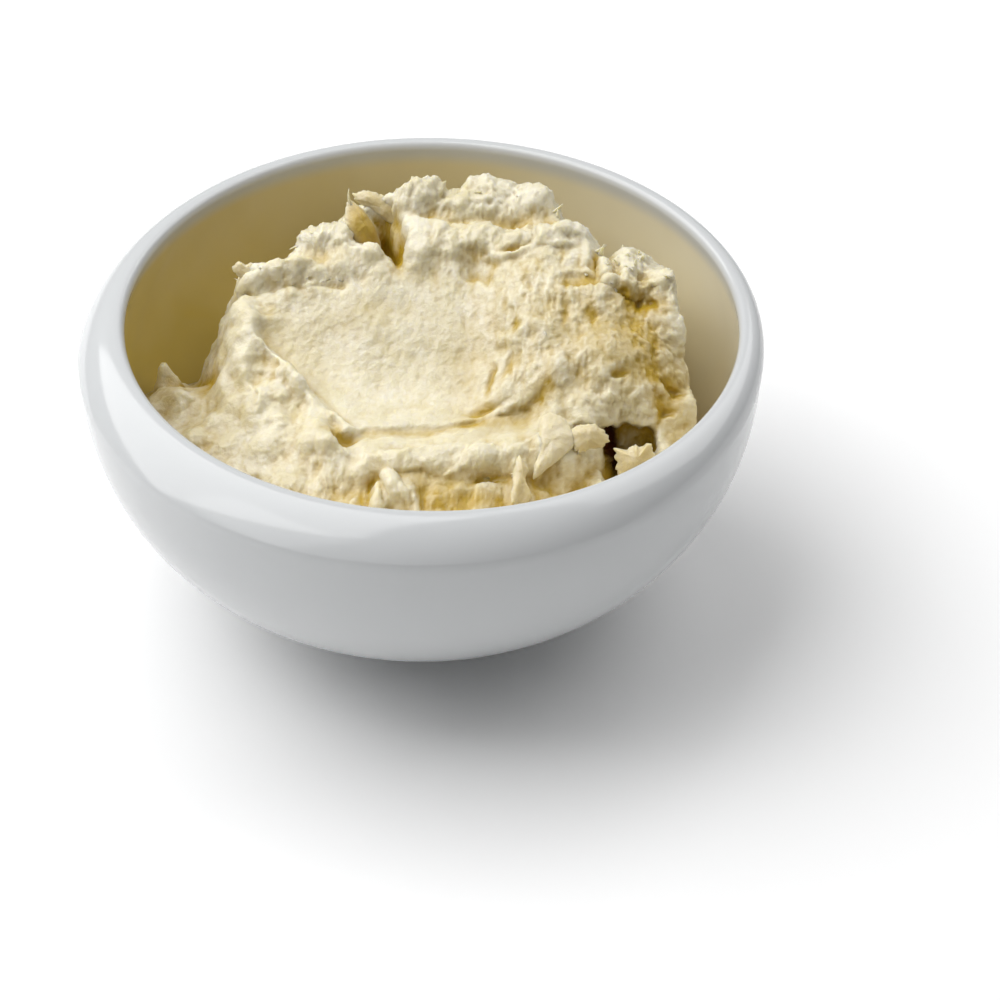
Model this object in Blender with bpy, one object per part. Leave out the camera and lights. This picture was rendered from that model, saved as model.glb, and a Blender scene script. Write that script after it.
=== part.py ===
"""A white porcelain bowl with an off-centre opening, holding a torn heap of tuna cream cheese spread.

Sizes are in millimetres. The bowl stands on its foot at z = 0 with its axis through the origin,
+X to the right, +Y to the back and +Z up.
"""

import itertools

import bpy
import numpy as np

for startup_object in list(bpy.data.objects):
    bpy.data.objects.remove(startup_object, do_unlink=True)

MM = 0.001

# The bowl's outside: a superellipse body, widest just under a rounded shoulder
BODY_RADIUS = 60.0
BODY_POLE_Z = 1.6
WIDEST_Z = 49.8
RIM_Z = 54.8
BODY_POWER_R = 2.3
BODY_POWER_Z = 2.1
FOOT_RING = ((0.0, 1.2), (17.5, 1.2), (18.6, 1.0), (19.6, 0.0), (22.0, 0.0), (22.8, 0.9))
BODY_START_R = 23.8

# The bowl's inside, and how far the opening's centre lies right of and behind the axis
RIM_TOP_RADIUS = 55.2
LIP_RADIUS = 54.0
LIP_Z = 53.4
CAVITY_RADIUS = 55.2
CAVITY_WIDE_Z = 44.0
CAVITY_FLOOR_Z = 6.6
OPENING_SHIFT = np.array([1.94, 3.33])
BOWL_SEGMENTS = 64

# The heap
GAP = 0.45
HEAP_GRID = 60
WALL_RINGS = 4
HEAP_CENTRE = (4.5, 7.5)
HEAP_RADII = (42.5, 29.0)
FACE_CENTRE = (-7.0, 2.0)
FACE_RADII = (24.0, 18.0)


def softplus(x, width):
    """Zero below 0 and x above it, rounded over the width."""
    return 0.5 * (x + np.sqrt(x * x + width * width))


def smooth_step(t):
    """0 to 1 with level ends."""
    t = np.clip(t, 0, 1)
    return t * t * (3 - 2 * t)


def smooth_max(a, b, width):
    """The larger of two heights, blended where they differ by less than the width."""
    h = np.clip(width - np.abs(a - b), 0, None) / width
    return np.maximum(a, b) + h * h * width / 4


def turned(x, y, centre, degrees):
    """x and y measured from a centre along axes turned by an angle."""
    t = np.radians(degrees)
    dx = x - centre[0]
    dy = y - centre[1]
    return dx * np.cos(t) + dy * np.sin(t), -dx * np.sin(t) + dy * np.cos(t)


def lump(x, y, centre, radii, degrees):
    """A round-topped lump 1 high: (1 - (u/ru)^2 - (v/rv)^2)^1.3, no lower than 0."""
    u, v = turned(x, y, centre, degrees)
    return np.clip(1 - (u / radii[0]) ** 2 - (v / radii[1]) ** 2, 0, None) ** 1.3


def bell(x, y, centre, radii, degrees=0.0, power=2.0):
    """A bell 1 high: e to the power -(d^power), d the distance in radii."""
    u, v = turned(x, y, centre, degrees)
    return np.exp(-(np.hypot(u / radii[0], v / radii[1]) ** power))


def along(x, y, start, end):
    """Distance from a line piece, the place along it from 0 to 1, and the side of it."""
    sx, sy = start
    ex, ey = end
    t = ((x - sx) * (ex - sx) + (y - sy) * (ey - sy)) / ((ex - sx) ** 2 + (ey - sy) ** 2)
    t = np.clip(t, 0, 1)
    away = np.hypot(x - (sx + t * (ex - sx)), y - (sy + t * (ey - sy)))
    side = np.sign((ex - sx) * (y - sy) - (ey - sy) * (x - sx))
    return away, t, side


def crest(x, y, start, end, width):
    """A crest 1 high along a line piece: (1 + (distance/width)^2)^-1.5."""
    away, _, _ = along(x, y, start, end)
    return (1 + (away / width) ** 2) ** -1.5


def ledge(x, y, start, end, width):
    """A ledge 1 high: e^(-distance/width) behind the line, gone within 2 mm in front of it."""
    sx, sy = start
    ex, ey = end
    length = np.hypot(ex - sx, ey - sy)
    t = ((x - sx) * (ex - sx) + (y - sy) * (ey - sy)) / length**2
    behind = ((ex - sx) * (y - sy) - (ey - sy) * (x - sx)) / length
    ends = smooth_step(0.5 + (0.5 - np.abs(t - 0.5)) * length / 3.0)
    return ends * np.exp(-np.clip(behind, 0, None) / width) * smooth_step(1 + behind / 2.0)


def noise(points, seed):
    """Gradient noise about 0, near -1 to 1: random slopes at whole-number corners, blended."""
    slopes = np.random.default_rng(1000 + seed).normal(size=(1024, 3))
    slopes /= np.linalg.norm(slopes, axis=1)[:, None]
    cell = np.floor(points).astype(np.int64)
    part = points - cell
    fade = part**3 * (part * (part * 6 - 15) + 10)
    total = np.zeros(points.shape[:-1])
    for corner in itertools.product((0, 1), repeat=3):
        place = cell + corner
        pick = (place[..., 0] * 73856093) ^ (place[..., 1] * 19349663) ^ (place[..., 2] * 83492791)
        reach = ((part - corner) * slopes[pick & 1023]).sum(-1)
        total += reach * np.where(corner, fade, 1 - fade).prod(-1)
    return total * 1.6


def flat_noise(x, y, size, seed):
    """Noise over the ground, in lumps of the given size."""
    return noise(np.stack([x / size, y / size, np.full_like(x, 0.37)], -1), seed)


def plates(points, seed, sharpness=14.0):
    """Tilted plates about 0, near -1 to 1: a mean of each near cell's plane, weighed e^(-k distance)."""
    table = np.random.default_rng(2000 + seed).uniform(-1, 1, size=(1024, 7))
    cell = np.floor(points).astype(np.int64)
    total = np.zeros(points.shape[:-1])
    weights = np.zeros(points.shape[:-1])
    for step in itertools.product((-1, 0, 1), repeat=3):
        place = cell + step
        pick = (place[..., 0] * 73856093) ^ (place[..., 1] * 19349663) ^ (place[..., 2] * 83492791)
        drawn = table[pick & 1023]
        away = points - (place + 0.5 + 0.35 * drawn[..., :3])
        weight = np.exp(-sharpness * np.sqrt((away * away).sum(-1)))
        total += weight * (0.6 * drawn[..., 3] + (away * drawn[..., 4:]).sum(-1))
        weights += weight
    return total / weights


def body_profile(t):
    """Outside of the bowl: r = R sin(t)^(2/n), z = widest - depth cos(t)^(2/m)."""
    r = BODY_RADIUS * np.sin(t) ** (2 / BODY_POWER_R)
    z = WIDEST_Z - (WIDEST_Z - BODY_POLE_Z) * np.cos(t) ** (2 / BODY_POWER_Z)
    return r, z


def cavity_profile(t, inset=0.0):
    """Inside of the bowl below its widest ring, the same curve, moved inwards by the inset."""
    r = (CAVITY_RADIUS - inset) * np.sin(t) ** (2 / BODY_POWER_R)
    z = CAVITY_WIDE_Z - (CAVITY_WIDE_Z - CAVITY_FLOOR_Z - inset) * np.cos(t) ** (2 / BODY_POWER_Z)
    return r, z


def cavity_angle(z, inset=0.0):
    """The cavity curve's parameter at a height."""
    share = (CAVITY_WIDE_Z - z) / (CAVITY_WIDE_Z - CAVITY_FLOOR_Z - inset)
    return np.arccos(np.clip(share, 0, 1) ** (BODY_POWER_Z / 2))


def inner_shift(z):
    """Share of the opening's shift that the inside has at a height."""
    return np.clip((z - CAVITY_FLOOR_Z) / (LIP_Z - CAVITY_FLOOR_Z), 0, 1) ** 1.5


def bowl_profile():
    """The bowl's section from the foot's centre over the rim to the cavity's centre: r, z, shift."""
    foot = np.array(FOOT_RING)
    start = np.arcsin((BODY_START_R / BODY_RADIUS) ** (BODY_POWER_R / 2))
    body = np.array(body_profile(np.linspace(start, np.pi / 2, 11))).T
    quarter = np.linspace(0, np.pi / 2, 6)[1:]
    shoulder_r = RIM_TOP_RADIUS + (BODY_RADIUS - RIM_TOP_RADIUS) * np.cos(quarter)
    shoulder_z = WIDEST_Z + (RIM_Z - WIDEST_Z) * np.sin(quarter)
    quarter = np.linspace(0, np.pi / 2, 4)[1:]
    lip_r = RIM_TOP_RADIUS - (RIM_TOP_RADIUS - LIP_RADIUS) * np.sin(quarter)
    lip_z = LIP_Z + (RIM_Z - LIP_Z) * np.cos(quarter)
    neck_z = np.array([50.0, 47.0])
    fall = (neck_z - CAVITY_WIDE_Z) / (LIP_Z - CAVITY_WIDE_Z)
    neck_r = CAVITY_RADIUS - (CAVITY_RADIUS - LIP_RADIUS) * fall**2
    inside = np.array(cavity_profile(np.linspace(np.pi / 2, 0, 11))).T
    r = np.concatenate([foot[:, 0], body[:, 0], shoulder_r, lip_r, neck_r, inside[:, 0]])
    z = np.concatenate([foot[:, 1], body[:, 1], shoulder_z, lip_z, neck_z, inside[:, 1]])
    shift = np.concatenate([
        np.zeros(len(foot) + len(body)),
        (shoulder_z - WIDEST_Z) / (RIM_Z - WIDEST_Z),
        np.ones(len(lip_z)),
        inner_shift(neck_z),
        inner_shift(inside[:, 1]),
    ])
    return r, z, shift


def bowl_mesh():
    """The section turned round the axis, each ring moved by its share of the opening's shift."""
    r, z, shift = bowl_profile()
    a = np.linspace(0, 2 * np.pi, BOWL_SEGMENTS, endpoint=False)
    x = r[1:-1, None] * np.cos(a) + shift[1:-1, None] * OPENING_SHIFT[0]
    y = r[1:-1, None] * np.sin(a) + shift[1:-1, None] * OPENING_SHIFT[1]
    rings = np.stack([x, y, np.broadcast_to(z[1:-1, None], x.shape)], -1)
    count = len(rings)
    points = np.concatenate([rings.reshape(-1, 3), [[0, 0, z[0]], [0, 0, z[-1]]]])
    seg = np.arange(BOWL_SEGMENTS)
    nxt = (seg + 1) % BOWL_SEGMENTS
    faces = []
    for k in range(count - 1):
        low = k * BOWL_SEGMENTS
        faces += np.stack([low + seg, low + nxt, low + BOWL_SEGMENTS + nxt, low + BOWL_SEGMENTS + seg], -1).tolist()
    last = (count - 1) * BOWL_SEGMENTS
    foot_centre = count * BOWL_SEGMENTS
    faces += np.stack([np.full_like(seg, foot_centre), nxt, seg], -1).tolist()
    faces += np.stack([last + seg, last + nxt, np.full_like(seg, foot_centre + 1)], -1).tolist()
    return points, faces


# Dips in the line where the spread meets the wall: direction and width in degrees, depth
WALL_DIPS = ((150, 20, 9.5), (12, 20, 9.0))

# Masses that stand above the heap's slope: centre, radii, turn in degrees, height
HEAP_LUMPS = {
    "hump": ((28.5, 8), (22, 22), 0, 5.5),
    "hump brow": ((20, 12), (9, 9), 0, 1.0),
    "bump by the smeared face": ((22.5, -4.5), (5, 4.5), 0, 1.8),
    "foot of the hump": ((36, -3), (10, 8), -10, 2.0),
    "right shoulder": ((46.5, 9.5), (8, 8), 0, 4.0),
    "back crest, left": ((-1.8, 35), (5.0, 5), 0, 3.0),
    "back crest, middle": ((10.5, 36), (5.5, 5), 0, 0.2),
    "notch in the back crest": ((4.0, 36), (2.0, 4), 0, -1.2),
    "back crest, right": ((20.8, 34), (4.2, 4.5), 0, 2.8),
    "left lump": ((-12.5, 30), (2.5, 3.5), -10, 0.8),
    "ear": ((-35.2, 22), (3.2, 3), 0, 2.6),
    "left rim": ((-31, 8), (4, 9), 5, 1.6),
    "left rim, lower": ((-27, -7), (5, 7), 25, 2.0),
    "front rim, left": ((-17, -17), (6, 4), -35, 1.4),
    "front rim": ((-3, -21), (8, 2.6), -3, 1.2),
    "front rim, right": ((13, -20), (8, 2.6), 10, 1.2),
    "flake": ((22.3, -18.5), (3.2, 5.0), -15, 2.4),
}

# Crests on the heap: start, end, width, height; a negative height is a furrow
HEAP_CRESTS = {
    "middle ridge": ((3, 23), (24, 22.8), 3.5, 1.8),
    "right crest": ((34, 20), (45, 12), 4.0, 1.0),
    "furrow before the back crest": ((4, 30.5), (15, 30.0), 1.6, -1.0),
    "petal": ((-13.2, 32.5), (-9.4, 27.0), 0.9, 2.0),
    "slab over the hollow": ((-11.5, 34.0), (-3.5, 32.5), 1.2, 1.8),
    "ledge above the smeared face": ((-31, 20.5), (-19, 19.0), 1.4, 0.4),
    "fold left of the face": ((-32, 2), (-27, -10), 1.6, 1.0),
    "lower left, first rib": ((-29, -6), (-36, -14), 2.0, 1.0),
    "lower left, second rib": ((-24, -11), (-28, -19), 2.0, 1.2),
    "lower left, third rib": ((-17, -16), (-18, -25), 2.0, 1.2),
    "groove between the ribs": ((-27, -9), (-32, -17), 1.2, -1.4),
    "groove, lower": ((-21, -14), (-23, -22), 1.2, -1.2),
}

# Ledges: the surface swells up to a line and breaks off past it, on the line's right-hand side.
# Start, end, width of the swell, height
HEAP_LEDGES = {
    "fold below the ear": ((-33.5, 20.3), (-23.0, 18.6), 3.0, 1.2),
    "over the face's upper left": ((-24.0, 18.0), (-15.0, 16.6), 2.5, 1.2),
    "peak's brow": ((-23.0, 26.0), (-15.5, 24.6), 3.0, 0.6),
    "peak to the hollow": ((-13.0, 24.5), (-5.0, 19.5), 2.2, 1.3),
    "left edge of the face": ((-20.5, -5.5), (-26.0, 3.5), 2.2, 0.9),
    "fold in the face's lower left": ((-27.0, 1.0), (-19.5, -8.0), 2.0, 0.8),
    "front lip, left": ((-17.0, -16.0), (-3.0, -20.8), 2.5, 0.9),
    "front lip": ((-4.0, -20.9), (6.0, -21.5), 2.5, 1.0),
    "front lip, right": ((5.0, -21.5), (20.0, -17.5), 2.5, 0.9),
    "hump's top right": ((31.5, 12.5), (42.0, 11.0), 3.0, 1.8),
    "hump's right side": ((36.0, 3.0), (46.0, 5.0), 2.5, 0.9),
    "middle ridge": ((2.0, 21.0), (18.0, 19.5), 3.0, 0.9),
    "middle ridge, right": ((19.0, 20.5), (31.0, 19.0), 2.5, 0.5),
    "back crest, left": ((-5.0, 31.5), (3.5, 31.5), 2.5, 0.8),
    "back crest, middle": ((4.5, 32.5), (15.0, 31.5), 2.5, 0.8),
    "over the holes": ((27.0, -12.5), (33.5, -13.0), 2.5, 1.2),
}

# Where the spoon left the face, a step down to the front band: x, y and drop along it
STEP_LINE = (
    (-17.0, -15.0, 0.0), (-13.0, -15.2, 1.3), (-9.5, -12.4, 1.6), (-3.0, -11.4, 1.4),
    (4.0, -11.0, 1.1), (14.0, -9.0, 1.2), (19.0, -7.4, 0.9), (24.0, -6.0, 0.0),
)

# Lumps lying on the low ground round the heap: centre, radii, turn, height
GROUND_LUMPS = {
    "pale cone": ((-3.5, -29.0), (2.8, 5.0), 5, 2.6),
    "front": ((7, -29), (6, 3.5), -5, 1.0),
    "front right": ((19, -27), (5, 4), 10, 1.4),
    "front, hidden by the lip": ((14, -35), (7, 5), 0, 2.0),
    "left front": ((-38, -9), (7, 6), -60, 1.6),
    "left shelf": ((-43, 6), (7, 6), 0, 3.0),
    "left peak": ((-47.0, 12), (3.2, 4.0), 20, 8.0),
    "right front": ((32, -25), (6, 5), 20, 2.4),
    "right front, outer": ((43, -16), (5, 5), 40, 3.0),
    "below the holes": ((36, -18.0), (8, 4.2), 8, 3.6),
    "between the holes": ((31.0, -15.5), (2.6, 2.6), 0, 3.0),
    "under the hump's left front": ((27.0, -15.0), (6.0, 4.0), 0, 4.5),
    "front middle, hidden by the lip": ((-2, -40), (9, 6), 0, 2.0),
    "back": ((2, 48), (9, 6), 0, 2.0),
    "back right": ((30, 41), (7, 5), -40, 2.2),
    "back left": ((-29, 38), (7, 5), 40, 2.0),
    "right": ((50, 18), (4, 6), 10, 2.0),
}

# Where the heap's outline is bitten in (plus) or bulges out (minus): centre, radii, millimetres
OUTLINE_BITES = {
    "behind the ear": ((-28, 28.5), (5, 6), 7.5),
    "behind the peak": ((-16.5, 34), (6, 4), 4.0),
    "left of the peak": ((-24, 30), (4.5, 5.0), 2.5),
    "left side": ((-40, 12), (4, 8), 4.4),
    "gap right of the middle ridge": ((34, 26), (3.5, 5), 6.5),
    "back right": ((28.5, 31.5), (4.5, 6), 8.0),
    "back left": ((-8, 36), (3, 4), 2.0),
    "back": ((5, 39), (2.5, 3), 2.0),
    "front left": ((-36, -8), (8, 6), 2.0),
    "front": ((-12, -24), (6, 4), 1.5),
    "left lump": ((-16, 31), (5, 5), -0.5),
    "back crest": ((13, 39), (14, 5), -1.0),
    "right side": ((47, 10), (6, 13), -6.6),
    "hump over the holes": ((35.5, -11.5), (5, 4), 2.4),
}

# Pits: centre, radii, turn, depth, power of the bell
PITS = {
    "hollow behind the petal": ((-7.0, 26.6), (2.6, 5.0), 10, 6.5, 3),
    "gap at the ridge's right end": ((33.0, 21.5), (1.6, 6.0), 12, 4.5, 2),
    "hole under the hump": ((36.8, -12.4), (3.9, 2.4), 8, 4.5, 3),
    "hole, lower": ((34.4, -16.6), (2.4, 3.0), 0, 3.5, 2),
    "hole in the right slab": ((43.0, -1.5), (1.3, 1.5), 0, 2.6, 3),
    "notch at the step's end": ((-12.4, -15.4), (1.9, 0.9), 25, 1.8, 2),
    "hollow under the bump": ((13.0, -8.0), (3.4, 1.6), 14, 1.3, 2),
    "dark dimple in front": ((10.5, -23.4), (2.4, 0.9), 5, 1.6, 2),
    "dimple by the pale cone": ((-6.5, -26.0), (1.3, 1.6), 0, 2.4, 2),
    "gap under the ear": ((-30.5, 16.0), (1.2, 1.0), 0, 1.3, 2),
}

# Level-topped masses with a steep edge: centre, radii, turn, height
PLATEAUS = {
    "left peak": ((-18.2, 26.2), (5.6, 3.2), -8, 0.5),
    "ear": ((-33.4, 21.2), (1.8, 1.8), 0, 1.2),
    "middle ridge, left end": ((-1.0, 24.5), (4.2, 4.0), 0, 1.0),
}

# Where the spread was pressed or dragged and is calm: centre, radii
CALM_PLACES = {
    "peak's front": ((-18, 23.5), (6, 4)),
    "left flank": ((-33, 3), (4, 12)),
    "hump's nose": ((30, -7), (12, 5)),
    "hump's front": ((26, 3), (12, 8)),
    "slab": ((46, -4), (4, 6)),
    "lower left": ((-26, -12), (9, 5)),
}

# Where the spread was pulled apart and is ragged, not dragged smooth: centre, radii
RAGGED_PLACES = {
    "hump, top right": ((39, 14), (9, 6)),
    "middle ridge": ((20, 24), (14, 4)),
    "back crest": ((8, 34), (18, 5)),
    "left peak": ((-18, 27), (6, 4)),
    "ear": ((-34, 21), (4, 4)),
    "low ground, front": ((4, -27), (26, 5)),
    "low ground, left": ((-42, 0), (7, 16)),
    "hump, right foot": ((44, 0), (5, 6)),
}

# Faces whose foot lies back under their edge: centre, radii, turn, distance, edge height, fall
UNDERCUTS = {
    "under the hump": ((36.5, -12.4), (5.2, 3.4), 6, 2.2, 41.5, 5.0),
    "under the front lip": ((6, -24.0), (22, 3.5), 0, 1.0, 41.0, 4.0),
}


def wall_height(a):
    """Where the spread meets the cavity wall: level, with a dip at the left back and one at the right."""
    z = 33.5 - 1.5 * np.sin(a) + 0.6 * np.sin(5 * a)
    for degrees, width, depth in WALL_DIPS:
        away = (a - np.radians(degrees) + np.pi) % (2 * np.pi) - np.pi
        z = z - depth * np.exp(-((away / np.radians(width)) ** 2))
    return z


def heap_slope(x, y):
    """The heap's top: level in front, rising 0.42 to the back, falling away to both sides."""
    rise = softplus(0.42 * (y + 7.5), 2.0)
    return 43.0 + rise - 0.20 * softplus(-10 - x, 6) - 0.10 * softplus(x - 34, 6)


def beyond_outline(x, y):
    """Distance outside the heap's superellipse outline, with its bites and bulges."""
    dx = x - HEAP_CENTRE[0]
    dy = y - HEAP_CENTRE[1]
    d = (np.abs(dx / HEAP_RADII[0]) ** 2.2 + np.abs(dy / HEAP_RADII[1]) ** 2.2) ** (1 / 2.2)
    r = np.hypot(dx, dy)
    outside = r - r / np.maximum(d, 1e-6)
    for centre, radii, amount in OUTLINE_BITES.values():
        outside = outside + amount * bell(x, y, centre, radii)
    return outside


def face_weight(x, y):
    """1 on the smeared face: a sharp edge to the left and below, a long fade right and above."""
    u, v = turned(x, y, FACE_CENTRE, 4)
    u = u / FACE_RADII[0]
    v = v / FACE_RADII[1]
    d = (np.abs(u) ** 2.6 + np.abs(v) ** 2.6) ** (1 / 2.6)
    fade = 0.05 + 0.30 * (0.5 + 0.5 * np.cos(np.arctan2(v, u) - np.radians(35))) ** 1.5
    return smooth_step((1 + 0.4 * fade - d) / (2 * fade)), d


def smeared(x, y):
    """1 on the smeared face and on the band under its step, 0 on torn ground."""
    weight, _ = face_weight(x, y)
    away, _, _ = along(x, y, (-10, -16.0), (17, -12.5))
    return np.maximum(weight, 0.9 * np.exp(-((away / 3.2) ** 4)))


def below_step(x, y):
    """How far the band lies below the face: the step's drop in front of its bent line, fading out."""
    line = np.array(STEP_LINE)
    level = np.interp(x, line[:, 0], line[:, 1])
    drop = np.interp(x, line[:, 0], line[:, 2])
    return drop * smooth_step(0.5 + (level - y) / 1.3) * smooth_step(1 - (level - y - 4.0) / 5.0)


def heap_height(x, y):
    """The spread's height: slope, lumps, crests, smeared face, step, pits, flanks and low ground."""
    wide_x = flat_noise(x, y, 11.0, 1)
    wide_y = flat_noise(x, y, 11.0, 2)
    fine_x = flat_noise(x, y, 4.5, 3)
    fine_y = flat_noise(x, y, 4.5, 4)
    wx = x + 1.6 * wide_x + 0.9 * fine_x
    wy = y + 1.6 * wide_y + 0.9 * fine_y
    z = heap_slope(wx, wy)
    for centre, radii, degrees, height in HEAP_LUMPS.values():
        z = z + height * lump(wx, wy, centre, radii, degrees)
    for start, end, width, height in HEAP_CRESTS.values():
        z = z + height * crest(wx, wy, start, end, width)
    for start, end, width, height in HEAP_LEDGES.values():
        z = z + height * ledge(wx, wy, start, end, width)
    for centre, radii, degrees, height in PLATEAUS.values():
        u, v = turned(wx, wy, centre, degrees)
        z = z + height * smooth_step((1.1 - np.hypot(u / radii[0], v / radii[1])) / 0.35)
    weight, d = face_weight(x + 0.5 * wide_x + 0.4 * fine_x, y + 0.5 * wide_y + 0.4 * fine_y)
    face = heap_slope(x, y) - 2.2 + 1.6 * np.clip(d, 0, 1.3) ** 2.5 + 0.25 * wide_x
    z = z * (1 - weight) + face * weight
    z = z - below_step(x + 0.5 * fine_x, y + 0.6 * fine_y)
    front = smooth_step(-(wy - HEAP_CENTRE[1]) / HEAP_RADII[1])
    back = smooth_step((wy - 28.0) / 10.0) * smooth_step((34.0 - np.abs(wx - 4.0)) / 14.0)
    left = bell(wx, wy, (-34, -14), (14, 12))
    flank = 2.6 + 0.4 * front - 0.9 * back - 1.1 * left
    z = z - flank * softplus(beyond_outline(wx, wy) + 0.4, 2.2 - 1.2 * front)
    ground = wall_height(np.arctan2(y - 2, x - 1)) + 1.2 * wide_x + 1.2 * fine_y
    outside = softplus(beyond_outline(wx, wy), 2)
    apron = 40.4 - 0.50 * outside - 1.2 * softplus(wx - 24, 3) - 0.5 * softplus(wy - 2, 4)
    apron = apron - 0.10 * softplus(-18 - wx, 6) + 0.8 * fine_x
    ground = smooth_max(ground, apron, 2.0)
    for centre, radii, degrees, height in GROUND_LUMPS.values():
        ground = ground + height * lump(wx, wy, centre, radii, degrees)
    z = smooth_max(z, ground, 3.5)
    u, v = turned(wx, wy, (45.8, -1.5), -12)
    slab = 43.0 - 2.6 * softplus(np.hypot(u / 4.2, v / 7.5) * 3 - 2.2, 1)
    z = smooth_max(z, slab, 1.0)
    for centre, radii, degrees, depth, power in PITS.values():
        z = z - depth * bell(wx, wy, centre, radii, degrees, power)
    return z


def undercut(points):
    """Pushes the foot of a face back under its edge: y + amount x bell x share below the edge."""
    x, y, z = np.moveaxis(points, -1, 0)
    moved = points.copy()
    for centre, radii, degrees, amount, edge_z, fall in UNDERCUTS.values():
        below = smooth_step((edge_z - z) / fall)
        moved[..., 1] += amount * bell(x, y, centre, radii, degrees, 4) * below
    return moved


def torn_share(x, y):
    """How torn the spread is: 0 where smeared, a third where dragged, 1 on the ragged places."""
    ragged = np.zeros(x.shape)
    for centre, radii in RAGGED_PLACES.values():
        ragged = np.maximum(ragged, bell(x, y, centre, radii, 0, 3))
    return (1 - 0.88 * smeared(x, y)) * (0.3 + 0.7 * ragged)


def uncalm(x, y):
    """1 on rough ground, 0.12 where smeared, 0.4 on the calm places."""
    calm = np.zeros(x.shape)
    for centre, radii in CALM_PLACES.values():
        calm = np.maximum(calm, bell(x, y, centre, radii, 0, 3))
    return (1 - 0.88 * smeared(x, y)) * (1 - 0.6 * calm)


def tear(points):
    """Height of the torn relief along the surface's normal: lumps, plates, folds and streaks."""
    x, y = points[..., 0], points[..., 1]
    torn = torn_share(x, y)
    free = uncalm(x, y)
    wide = noise(points / 6.5, 11)
    broken = plates(points / 6.0 + 0.25 * noise(points / 4.0, 17)[..., None], 1)
    folds = 0.9 - 2 * np.abs(noise(points / 3.4, 12))
    streaks = noise(points * np.array([0.5, 0.24, 0.24]), 16)
    return (
        free * (0.75 * wide + 0.75 * broken)
        + torn * (0.4 * broken + 0.5 * folds + 0.4 * streaks)
        + (1 - free) * 0.22 * wide
    )


def surface_normals(grid):
    """Unit normals of a grid of points."""
    n = np.cross(np.gradient(grid, axis=1), np.gradient(grid, axis=0))
    return n / np.maximum(np.linalg.norm(n, axis=-1), 1e-12)[..., None]


def evened(grid, turns):
    """Moves inner points along the surface towards their neighbours' middle."""
    for _ in range(turns):
        middle = (grid[:-2, 1:-1] + grid[2:, 1:-1] + grid[1:-1, :-2] + grid[1:-1, 2:]) / 4
        move = middle - grid[1:-1, 1:-1]
        n = surface_normals(grid)[1:-1, 1:-1]
        grid = grid.copy()
        grid[1:-1, 1:-1] += 0.6 * (move - (move * n).sum(-1)[..., None] * n)
    return grid


def blurred(grid, turns):
    """The grid after its inner points have moved to their neighbours' middle a number of times."""
    grid = grid.copy()
    for _ in range(turns):
        middle = grid[:-2, 1:-1] + grid[2:, 1:-1] + grid[1:-1, :-2] + grid[1:-1, 2:]
        grid[1:-1, 1:-1] = 0.5 * grid[1:-1, 1:-1] + middle / 8
    return grid


def disc_grid(count):
    """A square grid drawn into a unit disc: concentric squares become concentric circles."""
    a, b = np.meshgrid(np.linspace(-1, 1, count), np.linspace(-1, 1, count))
    wide = np.abs(a) > np.abs(b)
    r = np.where(wide, a, b)
    with np.errstate(divide="ignore", invalid="ignore"):
        angle = np.where(wide, np.pi / 4 * b / a, np.pi / 2 - np.pi / 4 * a / b)
    angle = np.where(r == 0, 0, angle)
    return r * np.cos(angle), r * np.sin(angle)


def heap_surface(count):
    """The spread's top as a grid: disc to cavity, height, evened out, undercut and torn."""
    u, v = disc_grid(count)
    a = np.arctan2(v, u)
    s = np.hypot(u, v)
    edge_z = wall_height(a)
    edge_r, _ = cavity_profile(cavity_angle(edge_z, GAP), GAP)
    shift = inner_shift(edge_z) * s
    x = s * edge_r * np.cos(a) + shift * OPENING_SHIFT[0]
    y = s * edge_r * np.sin(a) + shift * OPENING_SHIFT[1]
    inner = smooth_step((1 - s) / 0.08)
    grid = np.stack([x, y, edge_z * (1 - inner) + heap_height(x, y) * inner], -1)
    grid = evened(grid, count // 2)
    grid[..., 2] = edge_z * (1 - inner) + heap_height(grid[..., 0], grid[..., 1]) * inner
    grid = undercut(grid)
    relief = tear(grid) * np.clip((1 - s) / 0.10, 0, 1)
    return grid + surface_normals(blurred(grid, 3)) * relief[..., None]


def rim_of(count):
    """Indices of a grid's outer points, in order round it against the clock."""
    i = np.arange(count)
    low = i
    right = i[1:] * count + count - 1
    top = (count - 1) * count + i[-2::-1]
    left = i[-2:0:-1] * count
    return np.concatenate([low, right, top, left])


def heap_mesh():
    """The spread as a closed solid: its top, then rings down the cavity wall to the floor."""
    grid = heap_surface(HEAP_GRID)
    i = np.arange(HEAP_GRID - 1)[:, None] * HEAP_GRID + np.arange(HEAP_GRID - 1)
    faces = np.stack([i, i + 1, i + HEAP_GRID + 1, i + HEAP_GRID], -1).reshape(-1, 4).tolist()
    points = grid.reshape(-1, 3)
    rim = rim_of(HEAP_GRID)
    edge = points[rim]
    shift = inner_shift(edge[:, 2])
    a = np.arctan2(edge[:, 1] - shift * OPENING_SHIFT[1], edge[:, 0] - shift * OPENING_SHIFT[0])
    start = cavity_angle(edge[:, 2], GAP)
    above = rim
    for ring in range(1, WALL_RINGS + 1):
        r, z = cavity_profile(start * (1 - ring / (WALL_RINGS + 1)), GAP)
        shift = inner_shift(z)
        x = r * np.cos(a) + shift * OPENING_SHIFT[0]
        y = r * np.sin(a) + shift * OPENING_SHIFT[1]
        below = len(points) + np.arange(len(rim))
        points = np.concatenate([points, np.stack([x, y, z], -1)])
        faces += np.stack([above, below, np.roll(below, -1), np.roll(above, -1)], -1).tolist()
        above = below
    floor = len(points)
    points = np.concatenate([points, [[0, 0, CAVITY_FLOOR_Z + GAP]]])
    faces += np.stack([above, np.full_like(above, floor), np.roll(above, -1)], -1).tolist()
    return points, faces


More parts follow.
